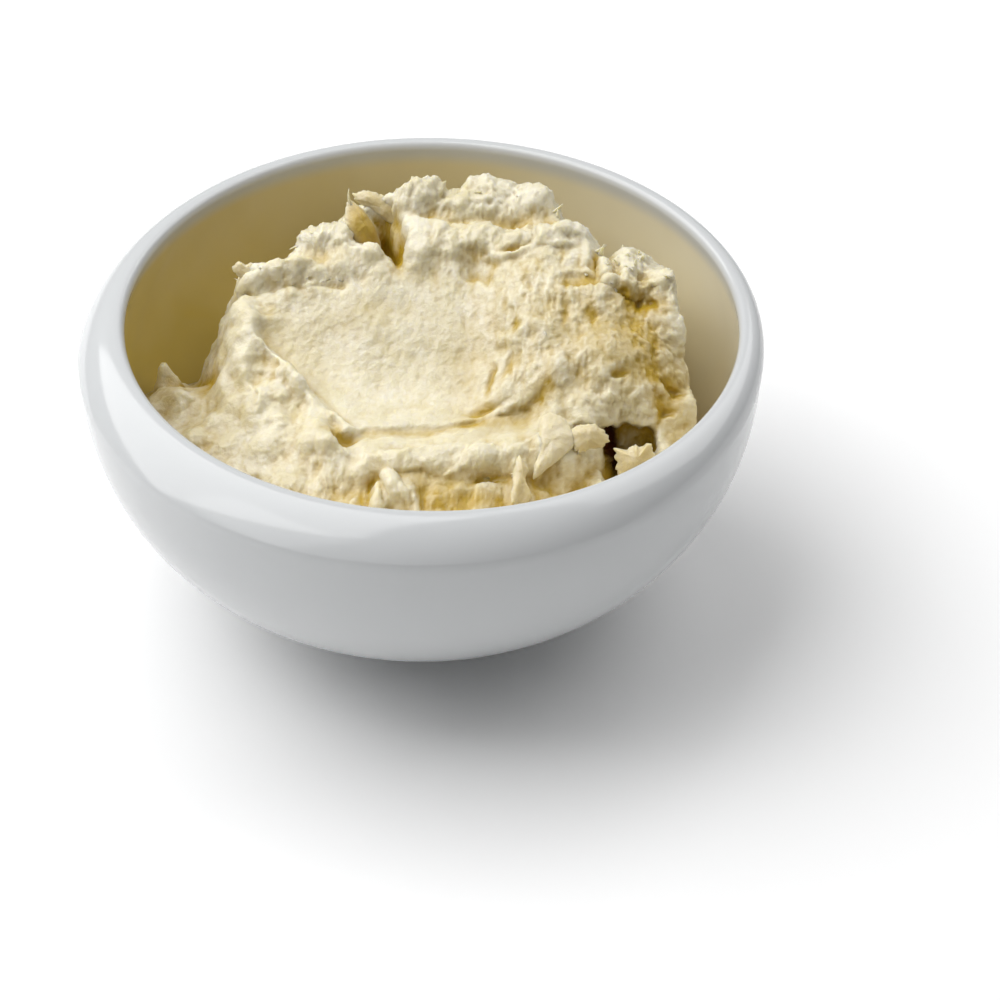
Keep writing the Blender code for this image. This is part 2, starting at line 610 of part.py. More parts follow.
def finish(name, colour, roughness):
    """A Principled material in one sRGB colour."""
    srgb = np.array([int(colour[i : i + 2], 16) for i in (0, 2, 4)]) / 255
    linear = np.where(srgb <= 0.04045, srgb / 12.92, ((srgb + 0.055) / 1.055) ** 2.4)
    material = bpy.data.materials.new(name)
    material.use_nodes = True
    shader = material.node_tree.nodes["Principled BSDF"]
    shader.inputs["Base Color"].default_value = (*linear.tolist(), 1)
    shader.inputs["Roughness"].default_value = roughness
    return material


def node(name, points, faces, material):
    """One object from points in millimetres and faces."""
    mesh = bpy.data.meshes.new(name)
    mesh.from_pydata((np.asarray(points) * MM).tolist(), [], faces)
    mesh.materials.append(material)
    mesh.shade_smooth()
    mesh.update()
    made = bpy.data.objects.new(name, mesh)
    bpy.context.scene.collection.objects.link(made)
    return made


node("bowl", *bowl_mesh(), finish("white porcelain", "e6e6ea", 0.15))
node("spread", *heap_mesh(), finish("cream cheese spread", "eadfba", 0.5))
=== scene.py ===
# %% [markdown]
# # A bowl of tuna cream cheese spread
# A thick white porcelain bowl stands on a pale table, with a torn heap of cream cheese spread in
# it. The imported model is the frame: two solids, the bowl and the spread, in metres, with the
# origin at the middle of the foot, +X to the right, +Y to the back and +Z up. This lesson puts
# finer surfaces in the same places and gives them their finishes. The heap is a formula, not a
# sculpture: its slope, lumps, crests and pits are named, so each one can be moved by a number.

# %% Load the frame
import itertools
import math

import bpy
import numpy as np
from mathutils import Matrix, Vector


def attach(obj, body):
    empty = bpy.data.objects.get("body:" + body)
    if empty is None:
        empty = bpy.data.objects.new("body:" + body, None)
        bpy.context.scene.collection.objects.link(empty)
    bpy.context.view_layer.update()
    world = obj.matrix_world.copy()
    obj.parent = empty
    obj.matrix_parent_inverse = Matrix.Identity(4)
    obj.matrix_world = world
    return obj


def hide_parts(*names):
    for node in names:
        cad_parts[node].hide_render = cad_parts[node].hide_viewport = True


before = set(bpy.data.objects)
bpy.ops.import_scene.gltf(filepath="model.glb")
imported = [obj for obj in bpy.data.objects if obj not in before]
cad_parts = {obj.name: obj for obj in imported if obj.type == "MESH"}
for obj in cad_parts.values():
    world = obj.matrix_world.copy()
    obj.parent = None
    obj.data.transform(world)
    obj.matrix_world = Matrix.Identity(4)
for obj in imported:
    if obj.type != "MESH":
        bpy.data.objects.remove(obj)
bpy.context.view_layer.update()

MM = 0.001

# %% [markdown]
# ## Camera
# The photograph looks down at the bowl at about 39 degrees from 0.6 m away with a long lens, and
# it leans by a little over one degree. The camera is turned about X first, then about its own
# view axis. The sensor is 36 mm wide and the picture is square, so the lens in millimetres is
# 36 times the focal length in picture widths.

# %% Camera
SENSOR_WIDTH = 36
CAMERA_PLACE = (0.014592, -0.456528, 0.389513)
LOOKS_DOWN = 39.347
LEANS = 1.33
FOCAL_IN_WIDTHS = 3.22714

camera_data = bpy.data.cameras.new("camera")
camera_data.sensor_width = SENSOR_WIDTH
camera_data.lens = SENSOR_WIDTH * FOCAL_IN_WIDTHS
camera_data.clip_start = 0.01
camera = bpy.data.objects.new("camera", camera_data)
bpy.context.scene.collection.objects.link(camera)
camera.matrix_world = (
    Matrix.Translation(CAMERA_PLACE)
    @ Matrix.Rotation(math.radians(90 - LOOKS_DOWN), 4, "X")
    @ Matrix.Rotation(math.radians(LEANS), 4, "Z")
)
bpy.context.scene.camera = camera
bpy.context.scene.view_settings.view_transform = "Standard"
print("camera: lens %.1f mm" % camera_data.lens)

# %% [markdown]
# ## Tools for shapes
# Every shape below is an array of points. A grid of points becomes a mesh through its rows and
# columns, and a ring or a cap closes it, so that no vertex is ever placed by hand.


# %% From points to a piece
def make_piece(name, points, faces, material, slot):
    """A mesh object at the origin from points in millimetres, riding on the body named root."""
    mesh = bpy.data.meshes.new(name)
    mesh.from_pydata((np.asarray(points) * MM).tolist(), [], faces)
    mesh.materials.append(material)
    mesh.shade_smooth()
    mesh.update()
    piece = bpy.data.objects.new(name, mesh)
    bpy.context.scene.collection.objects.link(piece)
    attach(piece, "root")
    print(name, "points", len(mesh.vertices), "faces", len(mesh.polygons))
    return piece


def give_value(piece, name, values):
    """Stores one number a point on a piece, for its material to read."""
    field = piece.data.attributes.new(name, "FLOAT", "POINT")
    field.data.foreach_set("value", np.asarray(values, np.float32).ravel())


def grid_faces(count):
    """Four-sided faces between neighbouring rows and columns of a square grid."""
    i = np.arange(count - 1)[:, None] * count + np.arange(count - 1)
    return np.stack([i, i + 1, i + count + 1, i + count], -1).reshape(-1, 4).tolist()


def closed_rings(rings, first, last):
    """A closed surface: rings joined in order, with a point closing each end as a fan."""
    rows, columns = rings.shape[:2]
    points = np.concatenate([rings.reshape(-1, 3), [first, last]])
    here = np.arange(columns)
    after = np.roll(here, -1)
    start = np.arange(rows - 1)[:, None] * columns
    sides = np.stack([start + here, start + after, start + columns + after, start + columns + here], -1)
    end = (rows - 1) * columns
    cap = np.full_like(here, rows * columns)
    faces = sides.reshape(-1, 4).tolist() + np.stack([cap, after, here], -1).tolist()
    return points, faces + np.stack([end + here, end + after, cap + 1], -1).tolist()


# %% Curves that blend
def softplus(x, width):
    """Zero below 0 and x above it, rounded over the width."""
    return 0.5 * (x + np.sqrt(x * x + width * width))


def smooth_step(t):
    """0 to 1 with level ends: t squared times (3 - 2t)."""
    t = np.clip(t, 0, 1)
    return t * t * (3 - 2 * t)


def smooth_max(a, b, width):
    """The larger of two heights, blended where they differ by less than the width."""
    h = np.clip(width - np.abs(a - b), 0, None) / width
    return np.maximum(a, b) + h * h * width / 4


print("softplus of 0 over a width of 2: %.2f" % softplus(0.0, 2.0))

# %% [markdown]
# ## The bowl
# The bowl was cast in a mould and glazed, so it is one turned shape with no edge anywhere: a
# superellipse body, a thick shoulder that curls inwards, and a hollow whose opening sits a few
# millimetres right of and behind the axis. It could be a Screw modifier on a curve, but then the
# rings couldn't move sideways. Here each ring of the section is moved by its share of the shift.
# The foot is hidden in the photograph, so it is a plain low ring.

# %% Bowl sizes
# Radii and heights in millimetres; the powers are those of the superellipse
BODY_RADIUS = 60.0
BODY_POLE_Z = 1.6
WIDEST_Z = 49.8
RIM_Z = 54.8
BODY_POWER_R = 2.3
BODY_POWER_Z = 2.1
FOOT_RING = (
    (0.0, 1.2), (17.3, 1.2), (18.2, 1.1), (18.8, 0.7), (19.2, 0.2), (19.7, 0.0),
    (21.9, 0.0), (22.4, 0.15), (22.8, 0.6), (23.1, 0.9),
)
BODY_START_R = 23.8
RIM_TOP_RADIUS = 55.2
LIP_RADIUS = 54.0
LIP_Z = 53.4
CAVITY_RADIUS = 55.2
CAVITY_WIDE_Z = 44.0
CAVITY_FLOOR_Z = 6.6
OPENING_SHIFT = np.array([1.94, 3.33])
BOWL_SEGMENTS = 288


# %% Bowl section
def body_profile(t):
    """Outside of the bowl: r = R sin(t)^(2/n), z = widest - depth cos(t)^(2/m)."""
    r = BODY_RADIUS * np.sin(t) ** (2 / BODY_POWER_R)
    z = WIDEST_Z - (WIDEST_Z - BODY_POLE_Z) * np.cos(t) ** (2 / BODY_POWER_Z)
    return r, z


def cavity_profile(t, inset=0.0):
    """Inside of the bowl below its widest ring, the same curve, moved inwards by the inset."""
    r = (CAVITY_RADIUS - inset) * np.sin(t) ** (2 / BODY_POWER_R)
    z = CAVITY_WIDE_Z - (CAVITY_WIDE_Z - CAVITY_FLOOR_Z - inset) * np.cos(t) ** (2 / BODY_POWER_Z)
    return r, z


def cavity_angle(z, inset=0.0):
    """The cavity curve's parameter at a height."""
    share = (CAVITY_WIDE_Z - z) / (CAVITY_WIDE_Z - CAVITY_FLOOR_Z - inset)
    return np.arccos(np.clip(share, 0, 1) ** (BODY_POWER_Z / 2))


def inner_shift(z):
    """Share of the opening's shift that the inside has at a height."""
    return np.clip((z - CAVITY_FLOOR_Z) / (LIP_Z - CAVITY_FLOOR_Z), 0, 1) ** 1.5


def bowl_section():
    """Radius, height, share of the shift and depth inside, from the foot to the cavity floor."""
    start = np.arcsin((BODY_START_R / BODY_RADIUS) ** (BODY_POWER_R / 2))
    body_r, body_z = body_profile(np.linspace(start, np.pi / 2, 48))
    quarter = np.linspace(0, np.pi / 2, 18)[1:]
    shoulder_r = RIM_TOP_RADIUS + (BODY_RADIUS - RIM_TOP_RADIUS) * np.cos(quarter)
    shoulder_z = WIDEST_Z + (RIM_Z - WIDEST_Z) * np.sin(quarter)
    quarter = np.linspace(0, np.pi / 2, 10)[1:]
    lip_r = RIM_TOP_RADIUS - (RIM_TOP_RADIUS - LIP_RADIUS) * np.sin(quarter)
    lip_z = LIP_Z + (RIM_Z - LIP_Z) * np.cos(quarter)
    neck_z = np.linspace(LIP_Z, CAVITY_WIDE_Z, 12)[1:-1]
    fall = (neck_z - CAVITY_WIDE_Z) / (LIP_Z - CAVITY_WIDE_Z)
    neck_r = CAVITY_RADIUS - (CAVITY_RADIUS - LIP_RADIUS) * fall**2
    inside_r, inside_z = cavity_profile(np.linspace(np.pi / 2, 0, 44))
    parts = (
        (*np.array(FOOT_RING).T, 0, 0),
        (body_r, body_z, 0, 0),
        (shoulder_r, shoulder_z, (shoulder_z - WIDEST_Z) / (RIM_Z - WIDEST_Z), 0),
        (lip_r, lip_z, 1, 0),
        (neck_r, neck_z, inner_shift(neck_z), LIP_Z - neck_z),
        (inside_r, inside_z, inner_shift(inside_z), LIP_Z - inside_z),
    )
    return np.concatenate([np.array(np.broadcast_arrays(*part)) for part in parts], 1)


# %% Bowl shape
def bowl_shape():
    """The section turned round the axis: each ring is a circle moved by its share of the shift."""
    r, z, shift, depth = bowl_section()
    a = np.linspace(0, 2 * np.pi, BOWL_SEGMENTS, endpoint=False)
    x = r[1:-1, None] * np.cos(a) + shift[1:-1, None] * OPENING_SHIFT[0]
    y = r[1:-1, None] * np.sin(a) + shift[1:-1, None] * OPENING_SHIFT[1]
    rings = np.stack([x, y, np.broadcast_to(z[1:-1, None], x.shape)], -1)
    points, faces = closed_rings(rings, (0, 0, z[0]), (0, 0, z[-1]))
    inside = np.concatenate([np.repeat(depth[1:-1], BOWL_SEGMENTS), [0, depth[-1]]])
    return points, faces, inside


bowl_points, bowl_faces, bowl_depth = bowl_shape()
print("bowl: %.1f mm across, %.1f mm high" % (np.ptp(bowl_points[:, 0]), np.ptp(bowl_points[:, 2])))

# %% [markdown]
# ## The heap of spread
# The real heap was lifted and dropped with a spoon. Its front left was smeared smooth, and the
# rest was torn, so it rises to the back in lumps with ragged crests. A sculpted mesh would need
# thousands of stored points. A height that is worked out from named places needs a few dozen
# numbers: a slope, plus lumps and crests, minus pits, blended with a smooth face and the low
# ground round it. Noise then bends the places, so that no lump keeps a round outline.
#
# Each kind of place is a small formula on the ground plan, 1 high, that a height multiplies.


# %% Shapes on the ground plan
def turned(x, y, centre, degrees):
    """x and y measured from a centre along axes turned by an angle."""
    t = np.radians(degrees)
    dx = x - centre[0]
    dy = y - centre[1]
    return dx * np.cos(t) + dy * np.sin(t), -dx * np.sin(t) + dy * np.cos(t)


def lump(x, y, centre, radii, degrees):
    """A round-topped lump 1 high: (1 - (u/ru)^2 - (v/rv)^2)^1.3, no lower than 0."""
    u, v = turned(x, y, centre, degrees)
    return np.clip(1 - (u / radii[0]) ** 2 - (v / radii[1]) ** 2, 0, None) ** 1.3


def bell(x, y, centre, radii, degrees=0.0, power=2.0):
    """A bell 1 high: e to the power -(d^power), d the distance in radii."""
    u, v = turned(x, y, centre, degrees)
    return np.exp(-(np.hypot(u / radii[0], v / radii[1]) ** power))


def distance_from(x, y, start, end):
    """Distance from a line piece, measured from the nearest of its places, t from 0 to 1 along it."""
    sx, sy = start
    ex, ey = end
    t = ((x - sx) * (ex - sx) + (y - sy) * (ey - sy)) / ((ex - sx) ** 2 + (ey - sy) ** 2)
    t = np.clip(t, 0, 1)
    return np.hypot(x - (sx + t * (ex - sx)), y - (sy + t * (ey - sy)))


def crest(x, y, start, end, width):
    """A crest 1 high along a line piece: (1 + (distance/width)^2)^-1.5."""
    return (1 + (distance_from(x, y, start, end) / width) ** 2) ** -1.5


def ledge(x, y, start, end, width):
    """A ledge 1 high: e^(-distance/width) behind the line, gone within 0.8 mm in front of it."""
    sx, sy = start
    ex, ey = end
    length = math.hypot(ex - sx, ey - sy)
    t = ((x - sx) * (ex - sx) + (y - sy) * (ey - sy)) / length**2
    behind = ((ex - sx) * (y - sy) - (ey - sy) * (x - sx)) / length
    ends = smooth_step(0.5 + (0.5 - np.abs(t - 0.5)) * length / 3.0)
    return ends * np.exp(-np.clip(behind, 0, None) / width) * smooth_step(1 + behind / 0.8)


print("a bell one radius from its middle: %.2f" % bell(1.0, 0.0, (0, 0), (1, 1)))

# %% [markdown]
# Noise gives what no name can: the small unevenness of torn food. It is the classic gradient
# noise, a random slope at each whole-number corner of space, blended between the corners. The
# same seed gives the same heap each time.


# %% Noise
# Rows in each table of random numbers
TABLE_ROWS = 1024


def row_of(cell):
    """A table row for each whole-number cell: its three numbers times primes, mixed by xor."""
    mixed = (cell[..., 0] * 73856093) ^ (cell[..., 1] * 19349663) ^ (cell[..., 2] * 83492791)
    return mixed % TABLE_ROWS


def noise(points, seed):
    """Gradient noise about 0, near -1 to 1: random slopes at whole-number corners, blended."""
    slopes = np.random.default_rng(1000 + seed).normal(size=(TABLE_ROWS, 3))
    slopes /= np.linalg.norm(slopes, axis=1)[:, None]
    cell = np.floor(points).astype(np.int64)
    part = points - cell
    fade = part**3 * (part * (part * 6 - 15) + 10)
    total = np.zeros(points.shape[:-1])
    for corner in itertools.product((0, 1), repeat=3):
        reach = ((part - corner) * slopes[row_of(cell + corner)]).sum(-1)
        total += reach * np.where(corner, fade, 1 - fade).prod(-1)
    return total * 1.6


def flat_noise(x, y, size, seed):
    """Noise over the ground, in lumps of the given size."""
    return noise(np.stack([x / size, y / size, np.full_like(x, 0.37)], -1), seed)


sample = noise(np.indices((20, 20, 20)).reshape(3, -1).T * 0.37, 0)
print("noise: %.2f to %.2f" % (sample.min(), sample.max()))

# %% [markdown]
# Torn cheese also breaks into small flat faces, like chipped plaster but softer. Each cell of a
# jittered lattice gets its own tilt and level, and neighbouring cells blend over a narrow seam.
# Air bubbles and crumbs that fell out leave round dimples, one at most in each cell.


# %% Plates and dimples
def near_cells(points, table):
    """Each of the 27 cells round every point, with its row of the table."""
    cell = np.floor(points).astype(np.int64)
    for step in itertools.product((-1, 0, 1), repeat=3):
        yield cell + step, table[row_of(cell + step)]


def plates(points, seed, sharpness=14.0):
    """Tilted plates about 0, near -1 to 1: a mean of the near cells' planes, weighed e^(-k distance)."""
    table = np.random.default_rng(2000 + seed).uniform(-1, 1, size=(TABLE_ROWS, 7))
    total = np.zeros(points.shape[:-1])
    weights = np.zeros(points.shape[:-1])
    for place, drawn in near_cells(points, table):
        away = points - (place + 0.5 + 0.35 * drawn[..., :3])
        weight = np.exp(-sharpness * np.sqrt((away * away).sum(-1)))
        total += weight * (0.6 * drawn[..., 3] + (away * drawn[..., 4:]).sum(-1))
        weights += weight
    return total / weights


def dimples(points, seed):
    """Round dimples, 0 to -1: the deepest of -depth (1 - (distance / radius)^2)^2 in the near cells."""
    table = np.random.default_rng(3000 + seed).uniform(size=(TABLE_ROWS, 5))
    deepest = np.zeros(points.shape[:-1])
    for place, drawn in near_cells(points, table):
        away = points - (place + 0.15 + 0.7 * drawn[..., :3])
        radius = 0.35 + 0.45 * drawn[..., 3]
        dimple = np.clip(1 - (away * away).sum(-1) / radius**2, 0, None) ** 2
        deepest = np.minimum(deepest, -(drawn[..., 4] ** 2) * dimple)
    return deepest


# %% [markdown]
# The height is built up in the order of the real making: first the heap's slope and outline,
# inside the line where the spread meets the bowl's wall.


# %% Slope and outline
HEAP_CENTRE = (4.5, 7.5)
HEAP_RADII = (42.5, 29.0)
# Height of its level front, its slope to the back and the height of the line at the wall
FRONT_Z = 43.0
SLOPE = 0.42
WALL_LINE_Z = 33.5

# Dips in the line where the spread meets the wall: direction and width in degrees, depth
WALL_DIPS = ((150, 20, 9.5), (12, 20, 9.0))

# Where the heap's outline is bitten in (plus) or bulges out (minus): centre, radii, millimetres
OUTLINE_BITES = {
    "behind the ear": ((-28, 28.5), (5, 6), 7.5),
    "behind the peak": ((-16.5, 34), (6, 4), 4.0),
    "left of the peak": ((-24, 30), (4.5, 5.0), 2.5),
    "left side": ((-40, 12), (4, 8), 4.4),
    "gap right of the middle ridge": ((34, 26), (3.5, 5), 6.5),
    "back right": ((28.5, 31.5), (4.5, 6), 8.0),
    "back left": ((-8, 36), (3, 4), 2.0),
    "back": ((5, 39), (2.5, 3), 2.0),
    "front left": ((-36, -8), (8, 6), 2.0),
    "front": ((-15, -24), (5, 4), 1.5),
    "front lip": ((1, -25), (13, 4), -2.2),
    "left lump": ((-16, 31), (5, 5), -0.5),
    "back crest": ((13, 39), (14, 5), -1.0),
    "right side": ((46.5, 12), (6, 11), -6.0),
    "hump over the holes": ((35.5, -11.5), (5, 4), 2.4),
}


def wall_height(a):
    """Where the spread meets the wall: level, with a dip at the left back and one at the right."""
    z = WALL_LINE_Z - 1.5 * np.sin(a) + 0.6 * np.sin(5 * a)
    for degrees, width, depth in WALL_DIPS:
        away = (a - np.radians(degrees) + np.pi) % (2 * np.pi) - np.pi
        z = z - depth * np.exp(-((away / np.radians(width)) ** 2))
    return z


def heap_slope(x, y):
    """The heap's top: level in front, rising by the slope to the back, falling away to both sides."""
    rise = softplus(SLOPE * (y + 7.5), 2.0)
    return FRONT_Z + rise - 0.20 * softplus(-10 - x, 6) - 0.10 * softplus(x - 34, 6)


def beyond_outline(x, y):
    """Distance outside the heap's superellipse outline, with its bites and bulges."""
    dx = x - HEAP_CENTRE[0]
    dy = y - HEAP_CENTRE[1]
    d = (np.abs(dx / HEAP_RADII[0]) ** 2.2 + np.abs(dy / HEAP_RADII[1]) ** 2.2) ** (1 / 2.2)
    r = np.hypot(dx, dy)
    outside = r - r / np.maximum(d, 1e-6)
    for centre, radii, amount in OUTLINE_BITES.values():
        outside = outside + amount * bell(x, y, centre, radii)
    return outside


print("the back of the heap's slope: %.1f mm high" % heap_slope(HEAP_CENTRE[0], 36.0))

# %% [markdown]
# The spoon smeared one face smooth, a shallow dish with a sharp edge on the left and in front
# that fades into the torn part on the right. Where the spoon left it, a step goes down to the
# front band. The dish is a weight on the ground plan, and the step is a line with a drop.


# %% The smeared face
FACE_CENTRE = (-7.0, 2.0)
FACE_RADII = (24.0, 18.0)
# A place on the line that cuts off the dish's lower left, and the way out across that line
FACE_CUT = (-28.0, 5.0)
FACE_CUT_WAY = (0.747, 0.664)
# How deep the dish lies, and the band in front of its step: ends and half width
FACE_DEPTH = 2.2
BAND = ((-10, -16.0), (17, -12.5))
BAND_WIDTH = 3.2

# The dish's two deeper parts: centre, radii, depth
FACE_DIPS = {
    "middle": ((-3, -4.5), (17, 9), 2.2),
    "upper left": ((-14, 4), (12, 6), 1.0),
}

# The step down to the front band: x, y and drop along it
STEP_LINE = (
    (-17.0, -15.0, 0.0), (-13.0, -15.2, 1.8), (-9.5, -12.4, 2.2), (-3.0, -11.4, 2.0),
    (4.0, -11.0, 1.7), (14.0, -9.0, 1.7), (19.0, -7.4, 1.2), (24.0, -6.0, 0.0),
)


def face_weight(x, y):
    """1 on the smeared face: a sharp edge to the left and below, a long fade right and above."""
    u, v = turned(x, y, FACE_CENTRE, 4)
    u = u / FACE_RADII[0]
    v = v / FACE_RADII[1]
    d = (np.abs(u) ** 2.6 + np.abs(v) ** 2.6) ** (1 / 2.6)
    cut = (FACE_CUT[0] - x) * FACE_CUT_WAY[0] + (FACE_CUT[1] - y) * FACE_CUT_WAY[1]
    d = smooth_max(d, 1 + cut / FACE_RADII[1], 0.12)
    fade = 0.05 + 0.30 * (0.5 + 0.5 * np.cos(np.arctan2(v, u) - np.radians(35))) ** 1.5
    return smooth_step((1 + 0.4 * fade - d) / (2 * fade)), d


def face_height(x, y, d, unevenness):
    """The dish: the slope less its depth, rising to its edge with d^2.5, less its deeper parts."""
    rise = 1.6 - 1.0 * smooth_step(-(y + 3) / 8)
    face = heap_slope(x, y) - FACE_DEPTH + rise * np.clip(d, 0, 1.3) ** 2.5 + unevenness
    for centre, radii, depth in FACE_DIPS.values():
        face = face - depth * bell(x, y, centre, radii)
    return face


def smeared(x, y):
    """1 on the smeared face and on the band under its step, 0 on torn ground."""
    weight, _ = face_weight(x, y)
    away = distance_from(x, y, *BAND)
    return np.maximum(weight, 0.9 * np.exp(-((away / BAND_WIDTH) ** 4)))


def below_step(x, y):
    """How far the band lies below the face: the step's drop in front of its bent line, fading out."""
    line = np.array(STEP_LINE)
    level = np.interp(x, line[:, 0], line[:, 1])
    drop = np.interp(x, line[:, 0], line[:, 2])
    return drop * smooth_step(0.5 + (level - y) / 1.3) * smooth_step(1 - (level - y - 4.0) / 5.0)


highest_drop = max(drop for _, _, drop in STEP_LINE)
print("face: %.0f mm wide, its step %.1f mm at most" % (2 * FACE_RADII[0], highest_drop))

# %% [markdown]
# On the slope stand the hump on the right, the peak and the ear on the left, the middle ridge and
# the back crest. Torn edges swell up to a line and break off past it, which a ledge gives. Each
# entry below is one mass or fold that can be seen, with its place in millimetres.

# %% Lumps, crests and ledges
# Masses that stand above the heap's slope: centre, radii, turn in degrees, height
HEAP_LUMPS = {
    "hump": ((28.5, 8), (22, 22), 0, 5.5),
    "hump brow": ((20, 12), (9, 9), 0, 1.0),
    "bump by the smeared face": ((22.5, -4.5), (5, 4.5), 0, 1.8),
    "foot of the hump": ((36, -3), (10, 8), -10, 2.0),
    "right shoulder": ((45.0, 11), (6, 8), 0, 4.5),
    "back crest, left": ((-1.8, 35), (5.0, 7), 0, 3.0),
    "back crest, middle": ((10.5, 36), (5.5, 7), 0, 0.2),
    "notch in the back crest": ((4.0, 36), (2.0, 4), 0, -1.2),
    "back crest, right": ((20.8, 34), (4.8, 6.5), 0, 2.2),
    "left lump": ((-12.5, 30), (2.5, 3.5), -10, 0.8),
    "ear": ((-35.2, 22), (3.2, 3), 0, 2.6),
    "left rim": ((-31.5, 8), (4.5, 9), 5, 2.8),
    "left rim, lower": ((-27, -7), (5, 7), 25, 2.0),
    "front rim, left": ((-17, -17), (6, 4), -35, 1.4),
    "front rim": ((-3, -21), (8, 2.6), -3, 1.2),
    "front rim, right": ((13, -20), (8, 2.6), 10, 1.2),
    "flake": ((22.3, -18.5), (3.2, 5.0), -15, 2.4),
}

# Level-topped masses with a steep edge: centre, radii, turn, height
PLATEAUS = {
    "left peak": ((-18.2, 26.2), (5.6, 3.2), -8, 0.5),
    "ear": ((-33.4, 21.2), (1.8, 1.8), 0, 1.2),
    "middle ridge, left end": ((-1.0, 24.5), (4.2, 4.0), 0, 1.0),
}

# Crests: start, end, width, height; a negative height is a furrow
HEAP_CRESTS = {
    "middle ridge": ((3, 23), (24, 22.8), 3.5, 1.8),
    "right crest": ((34, 20), (45, 12), 4.0, 1.0),
    "furrow before the back crest": ((4, 28.5), (17, 28.0), 1.6, -0.9),
    "petal": ((-13.2, 32.5), (-9.4, 27.0), 0.9, 0.3),
    "slab over the hollow": ((-11.5, 34.0), (-3.5, 32.5), 1.2, 1.8),
    "ledge above the smeared face": ((-31, 20.5), (-19, 19.0), 1.4, 0.4),
    "fold left of the face": ((-32, 2), (-27, -10), 1.6, 1.0),
    "lower left, first rib": ((-29, -6), (-36, -14), 2.0, 1.0),
    "lower left, second rib": ((-24, -11), (-28, -19), 2.0, 1.2),
    "lower left, third rib": ((-17, -16), (-18, -25), 2.0, 1.2),
    "groove between the ribs": ((-27, -9), (-32, -17), 1.2, -1.4),
    "groove, lower": ((-21, -14), (-23, -22), 1.2, -1.2),
}

# Ledges that break off on their line's right-hand side: start, end, width of the swell, height
HEAP_LEDGES = {
    "fold below the ear": ((-33.5, 20.3), (-23.0, 18.6), 3.0, 1.2),
    "over the face's upper left": ((-24.0, 18.0), (-15.0, 16.6), 2.5, 1.2),
    "peak's brow": ((-23.0, 26.0), (-15.5, 24.6), 3.0, 0.6),
    "peak to the hollow": ((-13.0, 24.5), (-5.0, 19.5), 2.2, 1.3),
    "left edge of the face": ((-20.5, -5.5), (-26.0, 3.5), 2.2, 0.9),
    "fold in the face's lower left": ((-27.0, 1.0), (-19.5, -8.0), 2.0, 0.8),
    "front lip, left": ((-17.0, -17.0), (-3.0, -22.6), 2.5, 0.9),
    "front lip": ((-4.0, -22.7), (6.0, -23.3), 2.5, 1.0),
    "front lip, right": ((5.0, -23.3), (20.0, -18.3), 2.5, 0.9),
    "hump's top right": ((31.5, 12.5), (42.0, 11.0), 3.0, 1.8),
    "middle ridge": ((2.0, 21.0), (18.0, 19.5), 3.0, 0.9),
    "middle ridge, right": ((19.0, 20.5), (31.0, 19.0), 2.5, 0.5),
    "back crest, left": ((-5.0, 31.5), (3.5, 31.5), 2.5, 0.3),
    "back crest, middle": ((4.5, 32.5), (15.0, 31.5), 2.5, 0.3),
    "over the holes": ((27.0, -12.5), (33.5, -13.0), 2.5, 1.2),
}

# Narrow folds and creases: start, end, width, height; these places aren't bent by the wide noise
NARROW_FOLDS = {
    "lip below the ear, left": ((-33.0, 18.8), (-27.0, 19.0), 1.0, 2.0),
    "lip below the ear, right": ((-27.0, 19.0), (-20.6, 20.2), 0.8, 1.6),
    "shade under the lip": ((-31.0, 16.6), (-21.5, 17.4), 0.9, -1.0),
    "crease under the peak": ((-21.8, 18.0), (-14.6, 16.6), 0.9, -1.5),
    "peak to the ridge": ((-14.3, 23.0), (-9.0, 21.0), 1.0, 1.1),
    "fold left of the face": ((-28.5, 5.5), (-21.8, -3.0), 1.0, 1.1),
    "fold to the notch": ((-21.8, -3.0), (-14.0, -11.6), 1.0, 0.8),
    "left valley": ((-38.0, -6.0), (-33.5, -14.5), 1.2, -1.4),
    "second valley": ((-31.5, -12.0), (-29.0, -19.0), 1.1, -1.2),
    "third valley": ((-24.0, -15.0), (-20.5, -22.0), 1.1, -1.2),
    "slab's white edge": ((42.0, -4.6), (46.4, -4.4), 0.7, 1.0),
    "recess under the lip": ((-5.0, -26.0), (15.0, -24.6), 1.7, -2.6),
}


def masses(x, y):
    """The slope with what stands on it: lumps, crests, ledges and level tops, times their heights."""
    z = heap_slope(x, y)
    for centre, radii, degrees, height in HEAP_LUMPS.values():
        z = z + height * lump(x, y, centre, radii, degrees)
    for start, end, width, height in HEAP_CRESTS.values():
        z = z + height * crest(x, y, start, end, width)
    for start, end, width, height in HEAP_LEDGES.values():
        z = z + height * ledge(x, y, start, end, width)
    for centre, radii, degrees, height in PLATEAUS.values():
        u, v = turned(x, y, centre, degrees)
        z = z + height * smooth_step((1.1 - np.hypot(u / radii[0], v / radii[1])) / 0.35)
    return z


print("lumps, level tops:", len(HEAP_LUMPS), len(PLATEAUS))
print("crests, ledges:", len(HEAP_CRESTS), len(HEAP_LEDGES))

# %% [markdown]
# Past its outline the heap falls away steeply to the low ground, which fills the bowl out to its
# wall: an apron in front, with lumps of its own, that drops towards the wall. The slab at the
# right is a smooth mass that leans on the heap.

# %% Flanks and low ground
APRON_Z = 40.4
SLAB_CENTRE = (45.8, -1.5)
SLAB_RADII = (4.2, 7.5)
SLAB_TURN = -12
SLAB_TOP_Z = 43.0

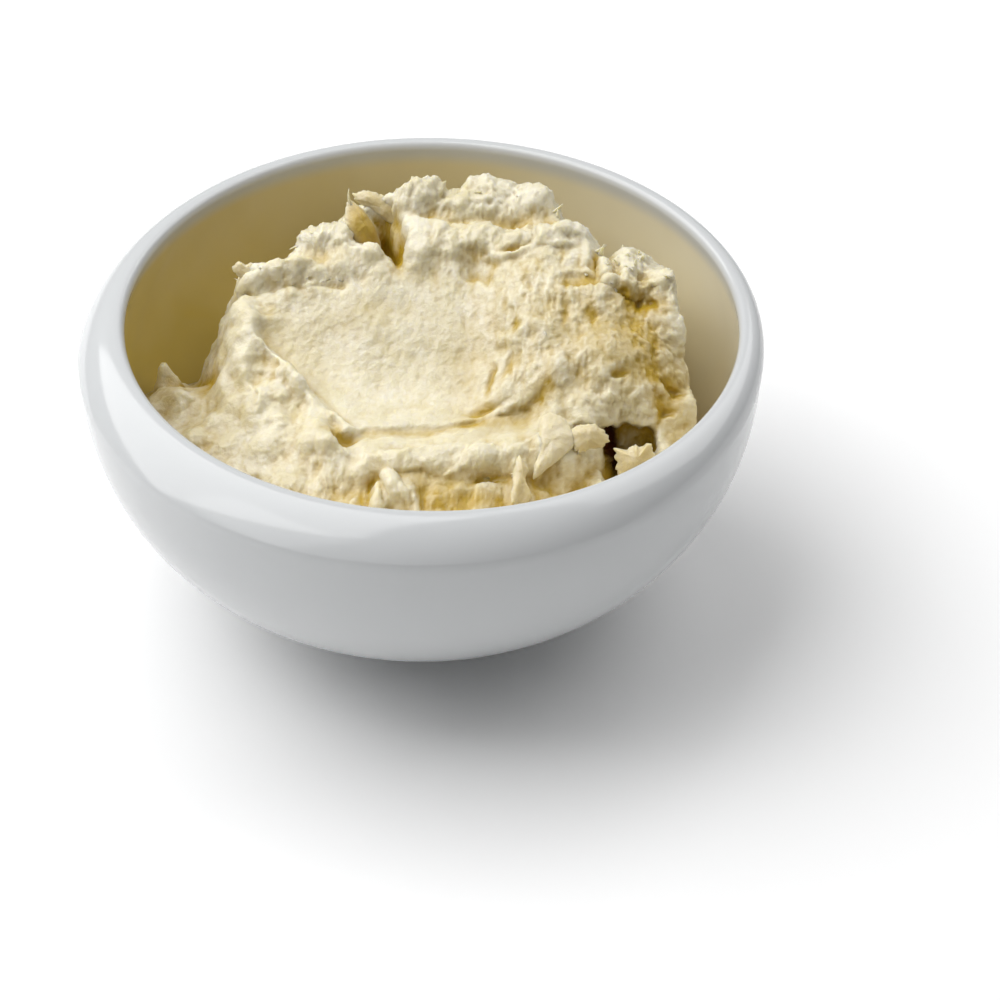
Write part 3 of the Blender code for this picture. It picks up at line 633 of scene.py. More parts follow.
# Lumps lying on the low ground round the heap: centre, radii, turn, height
GROUND_LUMPS = {
    "pale cone": ((-3.0, -28.0), (2.0, 5.0), 5, 3.2),
    "pale cone, left lobe": ((-5.6, -29.0), (1.9, 4.5), 10, 2.8),
    "pale cone, right lobe": ((-0.6, -29.2), (1.7, 4.5), -5, 2.6),
    "front": ((7, -29), (6, 3.5), -5, 1.0),
    "front right": ((19, -27), (5, 4), 10, 1.4),
    "front, hidden by the lip": ((14, -35), (7, 5), 0, 2.0),
    "left front": ((-38, -9), (7, 6), -60, 1.6),
    "left shelf": ((-43, 6), (7, 6), 0, 3.0),
    "left peak": ((-46.6, 11.5), (4.2, 4.4), 20, 6.0),
    "right front": ((32, -25), (6, 5), 20, 2.4),
    "right front, outer": ((43, -16), (5, 5), 40, 3.0),
    "below the holes": ((36, -18.0), (8, 4.2), 8, 3.6),
    "between the holes": ((31.0, -15.5), (2.6, 2.6), 0, 3.0),
    "under the hump's left front": ((27.0, -15.0), (6.0, 4.0), 0, 4.5),
    "front middle, hidden by the lip": ((-2, -40), (9, 6), 0, 2.0),
    "back": ((2, 48), (9, 6), 0, 2.0),
    "back right": ((30, 41), (7, 5), -40, 2.2),
    "back left": ((-29, 38), (7, 5), 40, 2.0),
    "right": ((50, 18), (4, 6), 10, 2.0),
}


def flank_fall(x, y):
    """How far the flanks fall: about 1 to 2.6 times the rounded distance outside the outline."""
    front = smooth_step(-(y - HEAP_CENTRE[1]) / HEAP_RADII[1])
    back = smooth_step((y - 28.0) / 10.0) * smooth_step((34.0 - np.abs(x - 4.0)) / 14.0)
    left = bell(x, y, (-34, -14), (14, 12))
    flank = 2.6 - 0.6 * front - 0.9 * back - 1.1 * left
    return flank * softplus(beyond_outline(x, y) + 0.4, 2.2 + 0.8 * front)


def low_ground(x, y, ground, unevenness):
    """The wall line's level or the apron, whichever is higher, with the lumps that lie on it."""
    outside = softplus(beyond_outline(x, y), 2)
    apron = APRON_Z - 0.50 * outside - 1.2 * softplus(x - 24, 3) - 0.5 * softplus(y - 2, 4)
    apron = apron - 0.10 * softplus(-18 - x, 6) + unevenness
    ground = smooth_max(ground, apron, 2.0)
    for centre, radii, degrees, height in GROUND_LUMPS.values():
        ground = ground + height * lump(x, y, centre, radii, degrees)
    return ground


def slab(x, y):
    """The slab at the right: its top less 2.6 softplus(3d - 2.2), d the distance in its radii."""
    u, v = turned(x, y, SLAB_CENTRE, SLAB_TURN)
    return SLAB_TOP_Z - 2.6 * softplus(np.hypot(u / SLAB_RADII[0], v / SLAB_RADII[1]) * 3 - 2.2, 1)


# %% [markdown]
# Last come the holes: pits a few millimetres wide, and small pockets, whose shade is later painted
# yellow. The whole height is then one function of x and y. Wide and fine noise first bends the
# places by a millimetre or two, so that the lumps lose their round outlines.

# %% The whole height
# Pits: centre, radii, turn, depth, power of the bell
PITS = {
    "hollow behind the petal": ((-6.6, 27.0), (2.6, 5.2), 12, 7.0, 4),
    "hollow under the petal": ((-9.6, 27.6), (4.2, 4.6), 15, 4.0, 4),
    "gap at the ridge's right end": ((33.0, 21.5), (1.6, 6.0), 12, 4.5, 2),
    "hole under the hump": ((36.8, -12.4), (3.9, 1.9), 8, 7.0, 3),
    "hole, lower": ((34.4, -16.6), (1.7, 3.0), 0, 7.0, 3),
    "notch at the step's end": ((-12.4, -15.4), (1.9, 0.9), 25, 1.8, 2),
    "hollow under the bump": ((13.0, -8.0), (3.4, 1.6), 14, 1.3, 2),
    "dark dimple in front": ((11.5, -24.6), (2.4, 0.9), 5, 2.0, 2),
    "dimple by the pale cone": ((-6.5, -26.0), (1.3, 1.6), 0, 2.4, 2),
    "gap under the ear": ((-32.2, 16.4), (1.2, 1.0), 0, 1.6, 2),
    "between the peak and the petal": ((-15.5, 30.5), (2.2, 3.0), 0, 2.2, 2),
    "notch below the hollow": ((-5.4, 21.2), (1.7, 2.8), 20, 2.6, 2),
}

# Small pockets on the hump and round the face, with shade painted yellow in them: centre, radii,
# turn, depth, amount of painted shade
POCKETS = {
    "under the middle ridge": ((16.4, 20.2), (2.4, 0.7), 12, 1.0, 0.6),
    "under the ridge, left": ((9.4, 20.3), (2.0, 0.8), -5, 1.0, 0.6),
    "below the ridge's end": ((28.4, 12.2), (4.6, 1.4), 8, 1.2, 0.55),
    "streak down the hump": ((25.4, 7.0), (0.8, 3.6), 0, 0.6, 0.35),
    "top right, small": ((35.6, 10.6), (1.3, 1.0), -30, 0.8, 1.0),
    "top right, large": ((39.2, 9.0), (3.6, 1.3), -8, 1.3, 1.2),
    "hump, right of the streak": ((30.1, 5.8), (1.2, 1.8), 10, 0.9, 0.5),
    "slit in the hump": ((34.9, -4.5), (1.7, 0.5), 15, 1.4, 0.6),
    "hump's left": ((16.9, 4.7), (0.9, 1.5), 0, 0.9, 0.5),
    "bump by the face": ((22.0, -6.8), (2.4, 2.2), 0, 0.0, 0.7),
    "by the step's end": ((11.6, -8.0), (2.8, 1.3), 14, 0.3, 0.8),
    "face's right end, upper": ((12.7, -2.6), (0.8, 2.4), -20, 0.7, 0.45),
    "face's right end": ((15.5, -1.4), (0.8, 1.8), -20, 0.7, 0.5),
    "slot in the ridge's end": ((30.7, 16.6), (0.9, 2.6), 0, 3.0, 1.0),
    "hole in the right slab": ((43.8, -2.4), (1.5, 1.1), -10, 2.8, 1.0),
    "under the slab's edge": ((43.4, -6.4), (1.8, 0.7), 0, 0.9, 0.8),
    "in front of the right slab": ((40.9, -2.6), (1.2, 3.2), 10, 0.5, 0.5),
}


def heap_height(x, y):
    """The spread's height: masses, smeared face, step, folds, flanks, low ground, pits, pockets."""
    wide_x = flat_noise(x, y, 11.0, 1)
    wide_y = flat_noise(x, y, 11.0, 2)
    fine_x = flat_noise(x, y, 4.5, 3)
    fine_y = flat_noise(x, y, 4.5, 4)
    wx = x + 1.6 * wide_x + 0.9 * fine_x
    wy = y + 1.6 * wide_y + 0.9 * fine_y
    weight, d = face_weight(x + 0.5 * wide_x + 0.4 * fine_x, y + 0.5 * wide_y + 0.4 * fine_y)
    z = masses(wx, wy) * (1 - weight) + face_height(x, y, d, 0.25 * wide_x) * weight
    z = z - below_step(x + 0.5 * fine_x, y + 0.6 * fine_y)
    for start, end, width, height in NARROW_FOLDS.values():
        z = z + height * crest(x + 0.4 * fine_x, y + 0.4 * fine_y, start, end, width)
    z = z - flank_fall(wx, wy)
    ground = wall_height(np.arctan2(y - 2, x - 1)) + 1.2 * wide_x + 1.2 * fine_y
    z = smooth_max(z, low_ground(wx, wy, ground, 0.8 * fine_x), 3.5)
    z = smooth_max(z, slab(wx, wy), 1.0)
    for centre, radii, degrees, depth, power in PITS.values():
        z = z - depth * bell(wx, wy, centre, radii, degrees, power)
    for centre, radii, degrees, depth, _ in POCKETS.values():
        z = z - depth * bell(x + 0.3 * fine_x, y + 0.3 * fine_y, centre, radii, degrees, 3)
    return z


print("pits:", len(PITS), "pockets:", len(POCKETS))

# %% [markdown]
# A height alone can't lean over. Three faces are undercut by pushing their foot back below an
# edge, whose height wavers a little so that it doesn't look cut.


# %% Overhangs
# Faces whose foot lies back under their edge: centre, radii, turn, distance, edge height, fall
UNDERCUTS = {
    "under the hump": ((36.5, -12.4), (5.2, 3.4), 6, 4.5, 41.5, 3.0),
    "under the front lip": ((6, -25.4), (22, 3.5), 0, 1.6, 41.0, 3.0),
    "under the top right's edge": ((39.6, 9.0), (4.4, 2.2), -8, 1.6, 54.9, 2.0),
}


def undercut(points):
    """Pushes the foot of a face back: y + distance x bell x share below the wavering edge."""
    x, y, z = np.moveaxis(points, -1, 0)
    moved = points.copy()
    wavy = 1.1 * flat_noise(x, y, 3.6, 5)
    for centre, radii, degrees, amount, edge_z, fall in UNDERCUTS.values():
        below = smooth_step((edge_z + wavy - z) / fall)
        moved[..., 1] += amount * bell(x, y, centre, radii, degrees, 4) * below
    return moved


# %% [markdown]
# Not every place is torn alike. The spread is smooth where it was smeared, calm where it was
# pressed or dragged, drawn into fibres down the hump, and ragged where it was pulled apart.


# %% Calm and torn places
# Where the spread was pressed or dragged and is calm: centre, radii
CALM_PLACES = {
    "peak's front": ((-18, 23.5), (6, 4)),
    "left flank": ((-33, 3), (4, 12)),
    "hump's nose": ((30, -7), (12, 5)),
    "hump's front": ((26, 3), (12, 8)),
    "slab": ((46, -4), (4, 6)),
    "lower left": ((-27, -14), (12, 8)),
    "front lip": ((0, -21.5), (24, 5)),
    "low ground, left": ((-42, -2), (8, 16)),
}

# Where the spread was pulled apart and is ragged: centre, radii
RAGGED_PLACES = {
    "hump, top right": ((39, 14), (9, 6)),
    "middle ridge": ((20, 24), (14, 4)),
    "back crest": ((8, 34), (18, 5)),
    "left peak": ((-18, 27), (6, 4)),
    "ear": ((-34, 21), (4, 4)),
    "hump, right foot": ((44, 0), (5, 6)),
    "over the holes": ((35, -9), (6, 4)),
}

# Share of the roughness that smearing takes away
SMOOTHED = 0.88


def torn_share(x, y):
    """How torn the spread is: 0 where smeared, a third where dragged, 1 on the ragged places."""
    ragged = np.zeros(x.shape)
    for centre, radii in RAGGED_PLACES.values():
        ragged = np.maximum(ragged, bell(x, y, centre, radii, 0, 3))
    return (1 - SMOOTHED * smeared(x, y)) * (0.3 + 0.7 * ragged)


def uncalm(x, y):
    """1 on rough ground, 0.12 where smeared, 0.4 on the calm places."""
    calm = np.zeros(x.shape)
    for centre, radii in CALM_PLACES.values():
        calm = np.maximum(calm, bell(x, y, centre, radii, 0, 3))
    return (1 - SMOOTHED * smeared(x, y)) * (1 - 0.6 * calm)


def drawn_down(x, y):
    """1 on the hump's face, where the spread was drawn down into fibres."""
    return bell(x, y, (27, 4), (17, 13), 0, 4)


# %% [markdown]
# The torn relief is laid along the surface's own direction, so it also works on the steep flanks.
# It is a sum of noises whose sizes in millimetres divide the points: 7 mm pillows, 6 mm plates,
# 3.4 mm folds, and streaks drawn out to 4 mm. Each is weighed by how torn or free its place is.


# %% Torn relief
def tear(points):
    """The torn relief's height along the normal: lumps, pillows, plates, folds and streaks."""
    x, y = points[..., 0], points[..., 1]
    torn = torn_share(x, y)
    free = uncalm(x, y)
    rough = (1 - SMOOTHED * smeared(x, y)) * (1 - 0.5 * drawn_down(x, y))
    wide = noise(points / 6.5, 11)
    pillows = 1.8 * np.abs(noise(points / 7.0, 21)) - 0.5
    broken = plates(points / 6.0 + 0.25 * noise(points / 4.0, 17)[..., None], 1)
    folds = 0.9 - 2 * np.abs(noise(points / 3.4, 12))
    streaks = noise(points * np.array([0.5, 0.24, 0.24]), 16)
    return (
        rough * (1 - 0.5 * drawn_down(x, y)) * (0.6 * wide + 0.35 * pillows)
        + free * (0.15 * wide + 0.5 * (1 - 0.5 * drawn_down(x, y)) * broken + 0.25 * pillows)
        + torn * (0.5 * broken + 0.5 * folds + 0.4 * streaks)
        + (1 - free) * 0.22 * wide
    )


# %% [markdown]
# The solid stops at relief of a few millimetres. Up close the torn spread also has fine ragged
# crests about a millimetre apart, where it pulled into threads before it parted. They are ridged
# noise, one minus its size, which is sharp on top and round below. Noise that is stretched along
# Y and Z but narrow in X gives the drag marks and fibres, which run down the faces.


# %% Fine relief
DRAG = np.array([1 / 1.1, 1 / 3.6, 1 / 3.6])
FIBRE = np.array([1 / 1.5, 1 / 2.4, 1 / 2.4])
POCK = np.array([1 / 2.6, 1 / 3.6, 1 / 3.6])


def fine_relief(points):
    """Plates, ridges, fibres and dimples on torn ground, soft pebbling on the smeared face."""
    x, y = points[..., 0], points[..., 1]
    torn = torn_share(x, y)
    free = uncalm(x, y)
    drawn = drawn_down(x, y)
    bent = points + 0.35 * noise(points / 1.6, 18)[..., None]
    ridges = 0.55 - 1.2 * np.abs(noise(bent / 1.7, 13))
    small = noise(points / 1.0, 14)
    chips = plates(bent / 2.2, 2, 10.0)
    pebbles = 0.10 * noise(points / 1.7, 13) + 0.07 * small
    pock_cells = points * POCK + 0.3 * noise(points / 2.5, 19)[..., None]
    pocks = dimples(pock_cells, 1) + 0.5 * dimples(bent / 1.8, 2)
    drag = 0.45 - 1.5 * np.abs(noise(bent * DRAG, 22))
    fibres = np.clip(0.5 - 2.4 * np.abs(noise(bent * FIBRE, 20)), 0, None)
    return (
        free * (0.07 * chips + 0.08 * small + 0.16 * drag)
        + (free - 0.7 * drawn) * 0.20 * pocks
        + drawn * 0.22 * drag
        + torn * (0.30 * ridges + 0.16 * chips + 0.12 * small + 0.6 * fibres)
        + (1 - free) * pebbles
        + (0.035 + 0.03 * free + 0.03 * torn) * noise(points / 0.62, 15)
    )


# %% [markdown]
# The top is a square grid drawn into a disc, so that its outer ring is the line at the wall.
# Steep flanks would stretch its cells, so the points are first spread evenly over the surface.
# Relief goes out along the normals of a blurred surface, which point one way over a whole lump.
# Where it still folds the surface over itself, the blurred surface takes over.


# %% Tools for the grid
def surface_normals(grid):
    """Unit normals of a grid of points."""
    n = np.cross(np.gradient(grid, axis=1), np.gradient(grid, axis=0))
    return n / np.maximum(np.linalg.norm(n, axis=-1), 1e-12)[..., None]


def evened(grid, turns):
    """Moves inner points along the surface towards their neighbours' middle."""
    for _ in range(turns):
        middle = (grid[:-2, 1:-1] + grid[2:, 1:-1] + grid[1:-1, :-2] + grid[1:-1, 2:]) / 4
        move = middle - grid[1:-1, 1:-1]
        n = surface_normals(grid)[1:-1, 1:-1]
        grid = grid.copy()
        grid[1:-1, 1:-1] += 0.6 * (move - (move * n).sum(-1)[..., None] * n)
    return grid


def blurred(grid, turns):
    """The grid after its inner points have moved to their neighbours' middle a number of times."""
    grid = grid.copy()
    for _ in range(turns):
        middle = grid[:-2, 1:-1] + grid[2:, 1:-1] + grid[1:-1, :-2] + grid[1:-1, 2:]
        grid[1:-1, 1:-1] = 0.5 * grid[1:-1, 1:-1] + middle / 8
    return grid


def unfolded(grid, turns):
    """Where the surface is folded over itself, the blurred one takes over, with a soft edge."""
    smooth = blurred(grid, turns)
    lean = (surface_normals(grid) * surface_normals(smooth)).sum(-1)
    folded = np.clip((0.35 - lean) / 0.25, 0, 1)
    share = np.clip(4 * blurred(folded[..., None], 5), 0, 1)
    return grid + share * (smooth - grid)


def disc_grid(count):
    """A square grid drawn into a unit disc: concentric squares become concentric circles."""
    a, b = np.meshgrid(np.linspace(-1, 1, count), np.linspace(-1, 1, count))
    wide = np.abs(a) > np.abs(b)
    r = np.where(wide, a, b)
    with np.errstate(divide="ignore", invalid="ignore"):
        angle = np.where(wide, np.pi / 4 * b / a, np.pi / 2 - np.pi / 4 * a / b)
    angle = np.where(r == 0, 0, angle)
    return r * np.cos(angle), r * np.sin(angle)


# %% The heap's top
HEAP_GRID = 300
# A hair's width between the spread and the glaze
GAP = 0.45


def heap_surface(count):
    """The spread's top as a grid: disc to cavity, height, evened out, undercut, torn, fine relief."""
    u, v = disc_grid(count)
    a = np.arctan2(v, u)
    s = np.hypot(u, v)
    edge_z = wall_height(a)
    edge_r, _ = cavity_profile(cavity_angle(edge_z, GAP), GAP)
    shift = inner_shift(edge_z) * s
    x = s * edge_r * np.cos(a) + shift * OPENING_SHIFT[0]
    y = s * edge_r * np.sin(a) + shift * OPENING_SHIFT[1]
    inner = smooth_step((1 - s) / 0.08)
    grid = np.stack([x, y, edge_z * (1 - inner) + heap_height(x, y) * inner], -1)
    grid = evened(grid, count // 2)
    grid[..., 2] = edge_z * (1 - inner) + heap_height(grid[..., 0], grid[..., 1]) * inner
    grid = undercut(grid)
    relief = tear(grid) * np.clip((1 - s) / 0.10, 0, 1)
    grid = unfolded(grid + surface_normals(blurred(grid, 6)) * relief[..., None], 12)
    relief = fine_relief(grid) * np.clip((1 - s) / 0.02, 0, 1)
    grid = unfolded(grid + surface_normals(blurred(grid, 2)) * relief[..., None], 8)
    return unfolded(grid, 12)


heap_grid = heap_surface(HEAP_GRID)
print("heap: top at %.1f mm" % heap_grid[..., 2].max())

# %% [markdown]
# Below its top the spread fills the bowl, so rings go down the cavity's wall to the floor, with
# a hair's gap to the glaze. That makes it a closed solid.

# %% The heap as a solid
WALL_RINGS = 5


def rim_of(count):
    """Indices of a grid's outer points, in order round it against the clock."""
    i = np.arange(count)
    low = i
    right = i[1:] * count + count - 1
    top = (count - 1) * count + i[-2::-1]
    left = i[-2:0:-1] * count
    return np.concatenate([low, right, top, left])


def heap_shape(grid):
    """The spread as a closed solid: its top, then rings down the cavity wall to the floor."""
    count = len(grid)
    faces = grid_faces(count)
    points = grid.reshape(-1, 3)
    rim = rim_of(count)
    edge = points[rim]
    shift = inner_shift(edge[:, 2])
    a = np.arctan2(edge[:, 1] - shift * OPENING_SHIFT[1], edge[:, 0] - shift * OPENING_SHIFT[0])
    start = cavity_angle(edge[:, 2], GAP)
    above = rim
    for ring in range(1, WALL_RINGS + 1):
        r, z = cavity_profile(start * (1 - ring / (WALL_RINGS + 1)), GAP)
        shift = inner_shift(z)
        x = r * np.cos(a) + shift * OPENING_SHIFT[0]
        y = r * np.sin(a) + shift * OPENING_SHIFT[1]
        below = len(points) + np.arange(len(rim))
        points = np.concatenate([points, np.stack([x, y, z], -1)])
        faces += np.stack([above, below, np.roll(below, -1), np.roll(above, -1)], -1).tolist()
        above = below
    floor = len(points)
    points = np.concatenate([points, [[0, 0, CAVITY_FLOOR_Z + GAP]]])
    faces += np.stack([above, np.full_like(above, floor), np.roll(above, -1)], -1).tolist()
    return points, faces


# %% [markdown]
# Folds in the spread look yellower than its crests, because they lie in shade and light that
# gets in bounces about and the milk fat takes out the blue. The renderer does that by itself for
# deep holes. For the small ones the shade is painted: the piece carries a number, how far each
# point lies below the middle of its surroundings, that paints them yellower. More shade is
# painted yellow at named places and in the pockets, light is painted paler at a few, and the
# gaps that go in among the lumps are painted dark brown as shade, and made dull.


# %% How deep each point is, and how much shade is painted on it
# Where shade is painted on the spread, yellower and darker: centre, radii, amount; a negative
# amount is painted light, paler
PAINTED_SHADE_PLACES = {
    "hump, right side": ((41, 3), (8, 10), 0.85),
    "hump, middle": ((28, 1), (14, 11), 0.45),
    "hump, upper left": ((16, 12), (6, 7), 0.20),
    "face, upper": ((-12, 10), (14, 4), 0.15),
    "face, right": ((9, 1), (5, 8), 0.20),
    "left shelf": ((-43, 8), (6, 6), 0.75),
    "left front": ((-40, -12), (5, 6), 0.5),
    "front": ((4, -28.5), (26, 5.0), 1.0),
    "front right": ((26, -22), (12, 5), 0.5),
    "hollow": ((-7, 27), (3.5, 6), 1.0),
    "slab": ((46, -4), (4, 6), 0.6),
    "peak's front": ((-17, 21), (5, 3), 0.25),
    "back": ((0, 44), (40, 8), 0.2),
    "pale cone": ((-3.4, -28.5), (2.6, 4.0), -0.8),
    "notch where the step begins": ((-14.6, -14.6), (2.6, 1.2), 1.0),
    "below the step": ((-2, -12.8), (11, 1.3), 0.4),
    "lower left, pale": ((-30.5, -9.5), (4, 3.5), -0.5),
    "below the step, right": ((12, -10.6), (7, 1.5), 0.6),
    "hollow before the hole": ((34.4, -14.6), (2.4, 3.0), 1.0),
}

# The gaps that go deep in among the lumps, painted dark brown as shade and made dull: centre,
# radii, height of the edge, amount
DEEP_PLACES = {
    "hole under the hump": ((33.4, -9.4), (2.2, 3.4), 41.0, 1.0),
    "hole, right end": ((40.0, -9.6), (1.6, 1.6), 41.0, 1.0),
    "hole's back wall": ((37.0, -9.0), (5.0, 4.0), 41.0, 0.25),
}


def hollow_depth(grid):
    """Depth below the blurred surface, in millimetres, at two sizes of surroundings."""
    near = blurred(grid, 12)
    far = blurred(near, 120)
    near_depth = ((near - grid) * surface_normals(near)).sum(-1)
    far_depth = ((far - near) * surface_normals(far)).sum(-1)
    return near_depth, far_depth


def painted_shade_amount(grid):
    """How much shade is painted on: the sum of bells at the painted places and in the pockets."""
    x, y = grid[..., 0], grid[..., 1]
    total = np.zeros(x.shape)
    for centre, radii, amount in PAINTED_SHADE_PLACES.values():
        total += amount * bell(x, y, centre, radii)
    for centre, radii, degrees, _, amount in POCKETS.values():
        total += amount * bell(x, y, centre, radii, degrees)
    return total


def deep_share(grid):
    """1 inside the deep gaps, 0 outside: bells, times the share of 2.5 mm below the edge."""
    x, y, z = np.moveaxis(grid, -1, 0)
    total = np.zeros(x.shape)
    for centre, radii, edge_z, amount in DEEP_PLACES.values():
        total += amount * bell(x, y, centre, radii, 0, 4) * smooth_step((edge_z - z) / 2.5)
    return np.clip(total, 0, 1)


near_depth, far_depth = hollow_depth(heap_grid)
print("hollows: near %.2f mm, far %.2f mm at most" % (near_depth.max(), far_depth.max()))

# %% [markdown]
# ## Finishes
# A material here is a small network of nodes. One function adds a node, sets its options and
# fills its sockets, with a number or with a link from an earlier node. Colours are written as
# sRGB hex, as a paint chart gives them, and turned to the linear values that light needs.


# %% Colour and node helpers
def linear(colour):
    """Linear RGBA of an sRGB hex colour: (c / 12.92) when dark, else ((c + 0.055) / 1.055)^2.4."""
    srgb = np.array([int(colour[i : i + 2], 16) for i in (0, 2, 4)]) / 255
    rgb = np.where(srgb <= 0.04045, srgb / 12.92, ((srgb + 0.055) / 1.055) ** 2.4)
    return (*rgb.tolist(), 1)


def add(tree, kind, sockets, **options):
    """Adds a node: options are its properties, sockets its inputs by name or number."""
    made = tree.nodes.new(kind)
    for name, value in options.items():
        setattr(made, name, value)
    for name, value in sockets.items():
        if isinstance(value, bpy.types.NodeSocket):
            tree.links.new(value, made.inputs[name])
        else:
            made.inputs[name].default_value = value
    return made


def new_material(name, sockets):
    """A material with its shader's constant sockets set: returns it, its tree and the shader."""
    material = bpy.data.materials.new(name)
    material.use_nodes = True
    shader = material.node_tree.nodes["Principled BSDF"]
    for socket, value in sockets.items():
        shader.inputs[socket].default_value = value
    return material, material.node_tree, shader


# %% [markdown]
# The bowl is hard porcelain under a clear feldspar glaze, fired until the glaze runs smooth. It
# is bluish white outside, and the hollow has a cream glaze in soft clouds 20 mm across. Over that
# cream, light and shade are painted in: painted light makes it paler to the right, where the
# window lights the wall, and painted shade makes it darker and yellower to the left and deeper
# down. The glaze is glassy, IOR about 1.5, and not quite flat: it lies in waves about 12 mm long
# and a few hundredths of a millimetre high.

# %% Glazed porcelain
GLAZE_OUTSIDE = "c8cacb"
# The cream glaze as it looks in shade and as it looks lit: painted shade and painted light
GLAZE_CREAM_SHADED = "cdb764"
GLAZE_CREAM_LIT = "e8e3d2"
GLAZE_WAVE = 0.012
WAVE_HEIGHT = 0.00004
GLAZE_CLOUD = 0.020
# Where the cream begins and where it is full, in millimetres below the lip
CREAM_FROM = 0.3
CREAM_FULL = 4.0
# Share of the lit cream at the middle, and what it gains in the clouds, per metre to the right
# and per millimetre down; the gain to the right is painted light, the loss downwards painted shade
LIT_SHARE_MIDDLE = 0.44
LIT_SHARE_IN_CLOUDS = 0.3
PAINTED_LIGHT_TO_THE_RIGHT = 6.5
PAINTED_SHADE_WITH_DEPTH = -0.014
porcelain, tree, shader = new_material(
    "glazed_porcelain", {"IOR": 1.5, "Roughness": 0.12, "Specular IOR Level": 0.5}
)
place = add(tree, "ShaderNodeTexCoord", {}).outputs["Object"]
across = add(tree, "ShaderNodeSeparateXYZ", {"Vector": place}).outputs["X"]
sockets = {"Vector": place, "Scale": 1 / GLAZE_CLOUD, "Detail": 2.0}
clouds = add(tree, "ShaderNodeTexNoise", sockets).outputs["Fac"]
inside = add(tree, "ShaderNodeAttribute", {}, attribute_name="inside").outputs["Fac"]
pale = LIT_SHARE_MIDDLE
shares = ((across, PAINTED_LIGHT_TO_THE_RIGHT), (clouds, LIT_SHARE_IN_CLOUDS), (inside, PAINTED_SHADE_WITH_DEPTH))
# Painted light to the right, painted shade with depth, and random clouds in the glaze
for source, gain in shares:
    sockets = {0: source, 1: gain, 2: pale}
    pale = add(tree, "ShaderNodeMath", sockets, operation="MULTIPLY_ADD").outputs[0]
sockets = {0: pale, 6: linear(GLAZE_CREAM_SHADED), 7: linear(GLAZE_CREAM_LIT)}
cream = add(tree, "ShaderNodeMix", sockets, data_type="RGBA").outputs[2]
sockets = {"Value": inside, "From Min": CREAM_FROM, "From Max": CREAM_FULL}
tint = add(tree, "ShaderNodeMapRange", sockets, interpolation_type="SMOOTHSTEP").outputs["Result"]
sockets = {0: tint, 6: linear(GLAZE_OUTSIDE), 7: cream}
glaze = add(tree, "ShaderNodeMix", sockets, data_type="RGBA").outputs[2]
tree.links.new(glaze, shader.inputs["Base Color"])
waves = add(tree, "ShaderNodeTexNoise", {"Vector": place, "Scale": 1 / GLAZE_WAVE, "Detail": 1.0})
sockets = {"Height": waves.outputs["Fac"], "Strength": 1.0, "Distance": WAVE_HEIGHT}
bump = add(tree, "ShaderNodeBump", sockets)
tree.links.new(bump.outputs["Normal"], shader.inputs["Normal"])

bowl = make_piece("bowl_glazed", bowl_points, bowl_faces, porcelain, "bowl")
give_value(bowl, "inside", bowl_depth)
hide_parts("bowl")

# %% [markdown]
# The spread is fresh cheese whipped with flaked tuna. It is soft, pale and slightly greasy, so
# light enters it a millimetre or two and comes out warmer, which is subsurface scattering. Fresh
# cheese has an IOR near 1.45 and a broad sheen, with a thin wet coat that the deep gaps lack. Its
# whiter patches are curd and its yellower ones oil, about 7 mm across. Its real grain is finer
# than the picture shows, so it is drawn 0.7 mm wide.

# %% Whipped spread
CURD_MOIST = "cbbb82"
CURD_DRY = "f3f1e6"
# Painted shade: the yellow of folds, recesses and pockets, also the tone of the drag streaks
STREAK_AND_SHADE_YELLOW = "b99a2a"
# Painted shade: the dark brown of the deep gaps
PAINTED_SHADE_BROWN = "341203"
GRAIN = 0.0007
GRAIN_HEIGHT = 0.00022
PATCH = 0.007
spread_finish, tree, shader = new_material(
    "whipped_cheese_spread",
    {
        "IOR": 1.45,
        "Roughness": 0.42,
        "Coat Roughness": 0.18,
        "Subsurface Weight": 0.85,
        "Subsurface Scale": 0.0009,
        "Subsurface Radius": (1.0, 0.96, 0.55),
    },
)
place = add(tree, "ShaderNodeTexCoord", {}).outputs["Object"]
hollow = add(tree, "ShaderNodeAttribute", {}, attribute_name="hollow").outputs["Fac"]
deep = add(tree, "ShaderNodeAttribute", {}, attribute_name="deep").outputs["Fac"]
sockets = {"Vector": place, "Scale": 1 / PATCH, "Detail": 6.0, "Roughness": 0.65}
patches = add(tree, "ShaderNodeTexNoise", sockets).outputs["Fac"]
colour = linear(CURD_MOIST)
# Random curd patches, then drag streaks and painted shade by the hollow value, then the deep gaps
for share, towards in ((patches, CURD_DRY), (hollow, STREAK_AND_SHADE_YELLOW), (deep, PAINTED_SHADE_BROWN)):
    sockets = {0: share, 6: colour, 7: linear(towards)}
    colour = add(tree, "ShaderNodeMix", sockets, data_type="RGBA").outputs[2]
tree.links.new(colour, shader.inputs["Base Color"])
for socket, (wet, dull) in {"Coat Weight": (0.4, 0.0), "Specular IOR Level": (0.5, 0.05)}.items():
    gloss = add(tree, "ShaderNodeMapRange", {"Value": deep, "To Min": wet, "To Max": dull})
    tree.links.new(gloss.outputs["Result"], shader.inputs[socket])
sockets = {"Vector": place, "Scale": 1 / GRAIN, "Detail": 3.0, "Roughness": 0.6}
grain = add(tree, "ShaderNodeTexNoise", sockets).outputs["Fac"]
sockets = {"Height": grain, "Strength": 1.0, "Distance": GRAIN_HEIGHT}
bump = add(tree, "ShaderNodeBump", sockets)
tree.links.new(bump.outputs["Normal"], shader.inputs["Normal"])

# %% [markdown]
# The number that makes the heap yellower is a sum of streaks where it was dragged, painted shade
# at the named places and in the pockets, painted shade by the depth of each hollow, and the deep
# gaps. It is weaker on torn ground, whose broken surface looks whiter.

# %% The heap's piece
spread = make_piece("spread_heap", *heap_shape(heap_grid), spread_finish, "spread")
hidden = len(spread.data.vertices) - near_depth.size


